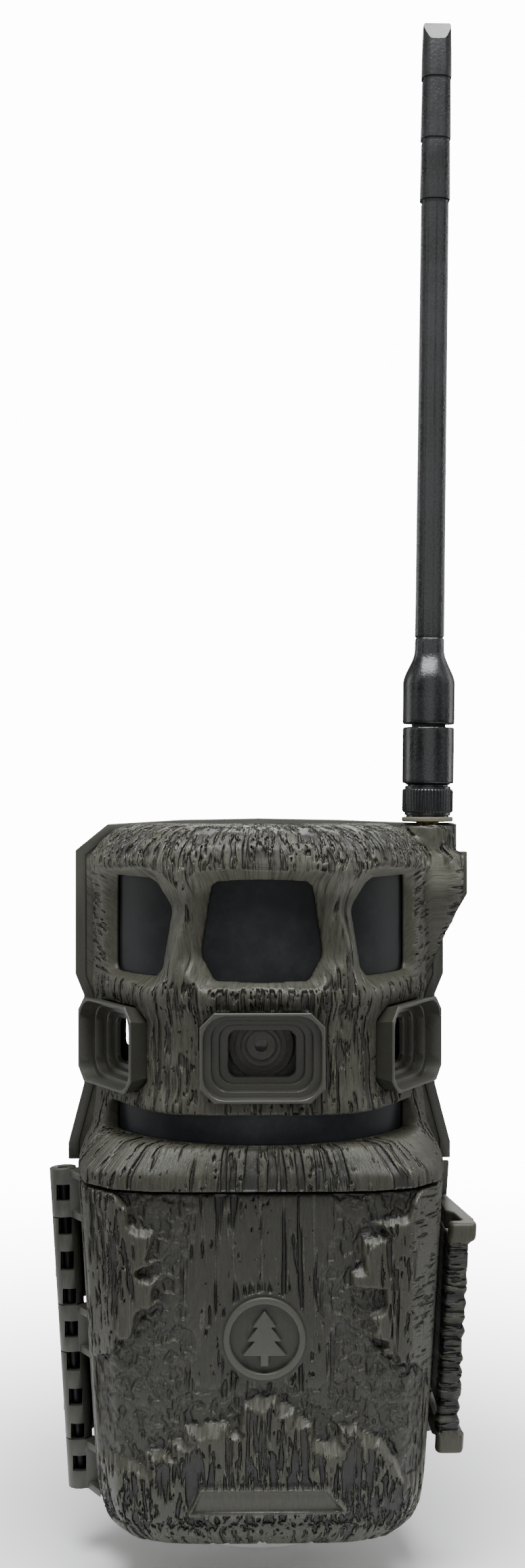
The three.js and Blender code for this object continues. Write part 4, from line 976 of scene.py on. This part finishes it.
def hood(name, azimuth):
    """A lens hood: a chamfered frame whose inside goes down in rounded steps to the window."""
    # half width, half height, corner and depth below the rim
    outside = [
        (14.3, 10.1, 3.4, 8.3), (15.5, 11.1, 3.5, 0.9), (15.75, 11.35, 3.6, 0.35), (15.5, 11.1, 3.5, 0.0),
    ]
    steps = [(14.85, 10.5, 5.6, 3.9), (12.85, 9.0, 4.6, 6.4), (10.85, 7.5, 3.6, 8.0), (8.6, 5.9, 2.2, 9.4)]
    rings = [rect_ring(*sizes, azimuth, chamfer=True) for sizes in outside]
    top = 0.0
    for half, rise, corner, floor in steps:
        for wider, depth in ((0.15, top), (0, top + 0.2), (-0.15, floor)):
            rings.append(rect_ring(half + wider, rise + wider, corner, depth, azimuth))
        top = floor
    rings.append(rings[0])
    place(loft(name + "_look", rings, caps=False), OLIVE, "housing", name)


for name, azimuth in HOODS.items():
    hood(name, azimuth)


def curved_window(node, material, middle, thickness=1.5):
    """A fine curved panel in the place of a CAD window."""
    low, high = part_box(node)
    outer, half_angle, steps = 41.0, 80, 56
    inner = outer - thickness
    rings = []
    for i in range(steps + 1):
        azimuth = math.radians(middle - half_angle + 2 * half_angle * i / steps)
        across, ahead = MM * math.sin(azimuth), -MM * math.cos(azimuth)
        outline = [(inner, low.z), (inner, high.z), (outer, high.z), (outer, low.z)]
        rings.append([(r * across, r * ahead, z) for r, z in outline])
    place(loft(node + "_look", rings), material, "housing", node)


for side, middle in (("front", 0), ("rear", 180)):
    curved_window("ir_window_" + side, SMOKED, middle)
    curved_window("pir_window_" + side, BAND, middle, thickness=1.2)


def lens_ring():
    low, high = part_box("lens_window_ring")
    inner, outer = 37.6 * MM, 39.1 * MM
    profile = [(inner, low.z), (outer, low.z), (outer, high.z), (inner, high.z), (inner, low.z)]
    ring = lathe("lens_window_ring_look", profile, (0, 0, 0), (0, 0, 1), 128)
    place(ring, CLEAR, "housing", "lens_window_ring")


lens_ring()


# ---- the lens behind the front hood
def turned(name, profile, base, axis, material, body, node):
    """A turned piece from (radius, height) in millimetres."""
    metres = [(r * MM, h * MM) for r, h in profile]
    place(lathe(name, metres, base, axis, 96, sharp=40), material, body, node)


def lens():
    low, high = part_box("lens_barrel")
    face = Vector((0, low.y + 1.2 * MM, (low.z + high.z) / 2))
    barrel = [
        (0.01, -27.6), (8.3, -27.6), (8.5, -27.4), (8.5, -0.4), (8.3, -0.15), (7.4, -0.15),
        (7.2, -0.4), (6.9, -0.4), (6.7, -0.1), (5.4, -0.1), (5.2, 0.1), (5.2, 1.0), (5.0, 1.2),
        (4.4, 1.2), (4.2, 1.05), (4.1, 0.3), (3.9, 0.1), (3.7, -0.6), (3.5, -0.7), (3.35, -1.5),
        (3.2, -1.6), (3.1, -2.7), (0.01, -2.7),
    ]
    collar = [(3.75, -0.5), (4.2, 1.1), (4.5, 1.35), (5.0, 1.35), (5.3, 1.1), (5.3, 0.0), (3.75, -0.5)]
    dome = [(0.01, -2.6), (3.0, -2.6), (3.0, -1.4)]
    for i in range(1, 13):
        angle = math.pi / 2 * i / 12
        dome.append((max(0.01, 3.0 * math.cos(angle)), -1.4 + 1.1 * math.sin(angle)))
    for name, profile, material, node in (
        ("lens_barrel_look", barrel, LENS_BLACK, "lens_barrel"),
        ("lens_collar", collar, LENS_COLLAR, "lens_barrel"),
        ("lens_front_element_look", dome, LENS, "lens_front_element"),
    ):
        turned(name, profile, face, (0, -1, 0), material, "turret", node)


lens()


# ---- the antenna
ANTENNA_FOOT = Vector((46.6, 0, 184.9)) * MM
ANTENNA_AXIS = Vector((math.sin(math.radians(0.7)), 0, math.cos(math.radians(0.7))))
MAST_SIDES = 48


def on_antenna(across, depth, z):
    """A point of the leaning antenna from its place across, front to back, and up, in millimetres."""
    sideways = Vector((ANTENNA_AXIS.z, 0, -ANTENNA_AXIS.x))
    up = ANTENNA_AXIS * (z * MM - ANTENNA_FOOT.z)
    return ANTENNA_FOOT + sideways * (across * MM) + Vector((0, depth * MM, 0)) + up


def antenna_ring(z, roundness, half, depth, ridge=0.0):
    """A ring from round (1) to eight-sided (0), with a moulding ridge at its front and back."""
    ring = []
    for i, angle in enumerate(around(MAST_SIDES)):
        total = 0
        for face, distance in ((0, half), (90, depth), (180, half), (270, depth)):
            total += max(0, math.cos(angle - math.radians(face)) / distance) ** 26
            total += max(0, math.cos(angle - math.radians(face + 45)) / (half * 1.03)) ** 26
        radius = total ** (-1 / 26) * (1 - roundness) + half * roundness
        if i % (MAST_SIDES // 2) == MAST_SIDES // 4:
            radius += ridge
        ring.append(on_antenna(radius * math.cos(angle), radius * math.sin(angle), z))
    return ring


def mast_ring(z, half, ridge=0.0):
    return antenna_ring(z, 0, half, half - 0.35, ridge)


def antenna_mast():
    """Four segments that cap each other, a ridge down the middle and a chiselled tip."""
    joints = [236.25, 357.4, 374.3, 391.2, 406.6]
    ridge = 0.09
    rings = [mast_ring(joints[0], 3.75)]
    for i, (bottom, top) in enumerate(zip(joints, joints[1:])):
        half = 4.11 if i else 3.95
        rings.append(mast_ring(bottom + (0.12 if i else 0.3), half - 0.05))
        rings.append(mast_ring(bottom + 0.5, half, ridge))
        steps = max(2, int((top - bottom) / 10))
        for step in range(1, steps):
            t = step / steps
            rings.append(mast_ring(bottom + (top - bottom) * t, half - 0.19 * t, ridge))
        if top != joints[-1]:
            rings.append(mast_ring(top - 1.0, half - 0.2, ridge))
            rings += [mast_ring(top - gap, half - 0.42) for gap in (0.75, 0.02)]
    rings.append(antenna_ring(top - 0.5, 0, 3.8, 3.5, 0.05))
    rings.append(antenna_ring(top, 0, 3.4, 3.1))
    mast = loft("antenna_mast_look", rings, sharp=22)
    tip = on_antenna(0, -3.7, 401.2)
    slope = (on_antenna(0, -0.9, 406.9) - tip).normalized()
    normal = Vector((0, -slope.z, slope.y))
    with editing(mast.data) as work:
        geometry = list(work.verts) + list(work.edges) + list(work.faces)
        cut = bmesh.ops.bisect_plane(work, geom=geometry, plane_co=tip, plane_no=normal, clear_outer=True)
        rim = [e for e in cut["geom_cut"] if isinstance(e, bmesh.types.BMEdge)]
        bmesh.ops.contextual_create(work, geom=rim)
    tidy_normals(mast.data, 22)
    place(mast, ANTENNA, "antenna_arm", "antenna_mast")


def antenna_barrels():
    """The upper barrel flows from a round socket into the mast. Its tongue turns in the lower one's fork."""
    rings = [antenna_ring(z, 1, half, half) for z, half in ((212.2, 6.85), (212.35, 7.05), (212.65, 7.15))]
    rings += [antenna_ring(213.5 + 2.2 * i, 1, 7.16, 7.16, 0.06) for i in range(5)]
    for i in range(13):
        t = i / 12
        eased = ease(0, 1, t)
        half = 7.18 + (3.98 - 7.18) * eased
        roundness = 1 - ease(0.25, 1.0, t)
        rings.append(antenna_ring(223.2 + 9.6 * t, roundness, half, half * (1 - 0.09 * eased), 0.06))
    rings.append(antenna_ring(235.6, 0, 3.95, 3.6, 0.06))
    rings.append(antenna_ring(236.0, 0, 3.75, 3.4))
    barrel = loft("upper_barrel", rings, sharp=40)
    foot = [math.pi + math.pi * i / 12 for i in range(13)]
    outline = [(2.8 * math.cos(turn), 203 + 2.8 * math.sin(turn)) for turn in foot]
    outline += [(2.8, 214), (-2.8, 214)]
    sides = [[on_antenna(across, depth, z) for depth, z in outline] for across in (-4.45, 4.45)]
    tongue = rounded(loft("tongue", sides), 0.25 * MM)
    whole = joined("antenna_upper_barrel_look", [barrel, tongue])
    place(whole, ANTENNA, "antenna_arm", "antenna_upper_barrel")


def true_round(points, radius, low, high):
    """Moves the points near the antenna's rim out to a true circle."""
    local = points / MM - np.array(ANTENNA_FOOT) / MM
    axis = np.array(ANTENNA_AXIS)
    along = local @ axis
    off = local - along[:, None] * axis
    distance = np.linalg.norm(off, axis=1) + 1e-9
    near = (distance > radius - 0.35) & (along > low) & (along < high)
    factor = np.where(near, radius / distance, 1.0)
    return (along[:, None] * axis + off * factor[:, None]) * MM + np.array(ANTENNA_FOOT)


def lower_barrel():
    """The fork's fine mesh, with its rim moved out to a true circle."""
    piece = copy_of("antenna_lower_barrel", "antenna_lower_barrel_look")
    remesh = piece.modifiers.new("even", "REMESH")
    remesh.mode = "VOXEL"
    remesh.voxel_size = 0.28 * MM
    smooth = piece.modifiers.new("soften", "SMOOTH")
    smooth.iterations = 4
    apply_modifiers(piece)
    move_points(piece.data, true_round(read_vectors(piece.data.vertices, "co"), 7.1, 11.5, 25.8))
    piece.data.shade_smooth()
    place(piece, ANTENNA, "antenna_base", "antenna_lower_barrel")


def antenna_nut():
    """A knurled nut on a plain collar."""
    ribs = 44
    groove = (0.42, 0.42, 0.147, 0, 0, 0.147)  # depths from one rib to the next
    rings = []
    levels = [  # height, radius and how deep the grooves are cut
        (186.9, 6.2, 0), (187.1, 6.35, 0), (187.65, 6.35, 0), (187.7, 6.6, 0), (188.0, 6.95, 0.5),
        (188.3, 7.05, 1), (193.5, 7.05, 1), (193.9, 6.95, 0.5), (194.2, 6.7, 0), (194.25, 6.3, 0),
        (194.9, 6.3, 0), (195.05, 6.1, 0),
    ]
    for z, radius, cut in levels:
        ring = []
        for i, angle in enumerate(around(len(groove) * ribs)):
            away = radius - cut * groove[i % len(groove)]
            ring.append(on_antenna(away * math.cos(angle), away * math.sin(angle), z))
        rings.append(ring)
    place(loft("antenna_nut_look", rings, sharp=30), ANTENNA, "antenna_nut", "antenna_nut")
    neck = [
        [on_antenna(radius * math.cos(angle), radius * math.sin(angle), z) for angle in around(48)]
        for z, radius in ((185.6, 5.9), (187.0, 5.9), (194.8, 5.6), (196.4, 5.6))
    ]
    place(loft("antenna_neck", neck), ANTENNA, "antenna_nut")


def seal_ring():
    low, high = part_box("antenna_seal_ring")
    tall = (high.z - low.z) / MM
    profile = [
        (5.75, 0), (6.8, 0), (7.05, 0.2), (7.1, tall / 2), (7.05, tall - 0.2), (6.8, tall), (5.75, tall),
        (5.75, 0),
    ]
    base = (ANTENNA_FOOT.x, 0, low.z)
    turned("antenna_seal_ring_look", profile, base, (0, 0, 1), SEAL, "housing", "antenna_seal_ring")


antenna_mast()
antenna_barrels()
lower_barrel()
antenna_nut()
seal_ring()


# ---- everything else keeps its CAD shape
REST = {
    OLIVE: ["power_switch", "setup_button"],
    BLACK: ["head_floor_plate", "turret_drum", "wiring_post", "lower_tub", "battery_tray",
            "control_panel", "memory_card"],
    RUBBER: ["door_gasket", "antenna_coax"],
    WHITE: ["turret_gear"],
    SCREEN: ["status_display"],
    BOARD: ["ir_led_drum", "pir_sensor_ring", "image_sensor_board", "main_board"],
    BLUED: ["hinge_pin", "latch_pin", "latch_hook"],
    STEEL: ["stepper_motor", "antenna_fold_pin"] + [f"cover_screw_{i}" for i in range(1, 5)],
    BRASS: ["tripod_insert", "sma_connector", "motor_pinion"],
    SLEEVE: [f"battery_cell_{i}" for i in range(1, 9)],
}
for material, nodes in REST.items():
    for node in nodes:
        refined(node, material)


# ---- stage, lights and camera
def area_light(name, at, size, power, color=(1, 1, 1)):
    """A soft box that faces the object."""
    light = bpy.data.lights.new(name, "AREA")
    light.shape = "RECTANGLE"
    light.size, light.size_y = size
    light.energy = power
    light.color = color
    holder = new_object(name, light)
    holder.location = at
    holder.rotation_euler = (Vector((0, 0, 0.13)) - Vector(at)).to_track_quat("-Z", "Y").to_euler()


def stage():
    """A pale floor that fades into the background, and a low plinth.

    The door's leaning hinge lowers its free edge as it opens, so the object stands on the plinth.
    """
    half, down, radius = 1.2, -PLINTH_HEIGHT, 0.026
    corners = [(-half, -half, down), (half, -half, down), (half, half, down), (-half, half, down)]
    floor = mesh_object("studio_floor", corners, [(0, 1, 2, 3)])
    sides = [(0.001, down), (radius, down), (radius, -0.0006), (radius - 0.0006, -0.0001), (0.001, -0.0001)]
    plinth = lathe("studio_plinth", sides, (0, 0.021, 0), (0, 0, 1))
    material, shader = new_material("studio_paper")
    away = new_node(shader, "VectorMath")
    away.operation = "LENGTH"
    plug(away.inputs[0], object_coords(shader))
    faded = ramp(away.outputs["Value"], 0.06, 0.50, 1.0, 0.0)
    feed(shader, Base_Color=(0.92, 0.92, 0.92, 1), Roughness=0.9, Alpha=faded)
    for piece in (floor, plinth):
        piece.data.materials.append(material)


def background():
    """White behind the object, and only a faint light from all round."""
    world = bpy.data.worlds.new("studio")
    world.use_nodes = True
    faint = world.node_tree.nodes["Background"]
    seen = new_node(faint, "Background")
    choice = new_node(faint, "MixShader")
    feed(faint, Color=(1, 1, 1, 1), Strength=0.14)
    feed(seen, Color=(1, 1, 1, 1), Strength=14.0)
    plug(choice.inputs[0], new_node(faint, "LightPath").outputs["Is Camera Ray"])
    plug(choice.inputs[1], faint.outputs[0])
    plug(choice.inputs[2], seen.outputs[0])
    feed(world.node_tree.nodes["World Output"], Surface=choice.outputs[0])
    bpy.context.scene.world = world


def lights():
    """Soft boxes above and in front, and dim ones that draw the edges."""
    area_light("top", (0.0, -0.26, 0.92), (0.7, 0.45), 20, (0.98, 0.99, 1.0))
    area_light("front", (0.0, -1.3, 0.35), (1.2, 1.0), 4.6)
    for name, side in (("left", -1), ("right", 1)):
        area_light(name, (side * 0.90, -0.40, 0.60), (0.22, 0.9), 1.2)
        area_light(name + "_edge", (side * 0.85, 0.30, 0.30), (0.3, 0.8), 2.5)
    area_light("behind", (0.2, 1.2, 0.7), (0.8, 0.8), 6)


def camera():
    data = bpy.data.cameras.new("camera")
    data.sensor_width = 36
    data.lens = CAMERA_LENS
    data.clip_start = 0.01
    data.clip_end = 50
    holder = new_object("camera", data)
    holder.location = CAMERA_AT
    holder.rotation_euler = (math.radians(90), 0, math.radians(-CAMERA_TURN))
    bpy.context.scene.camera = holder


stage()
background()
lights()
camera()
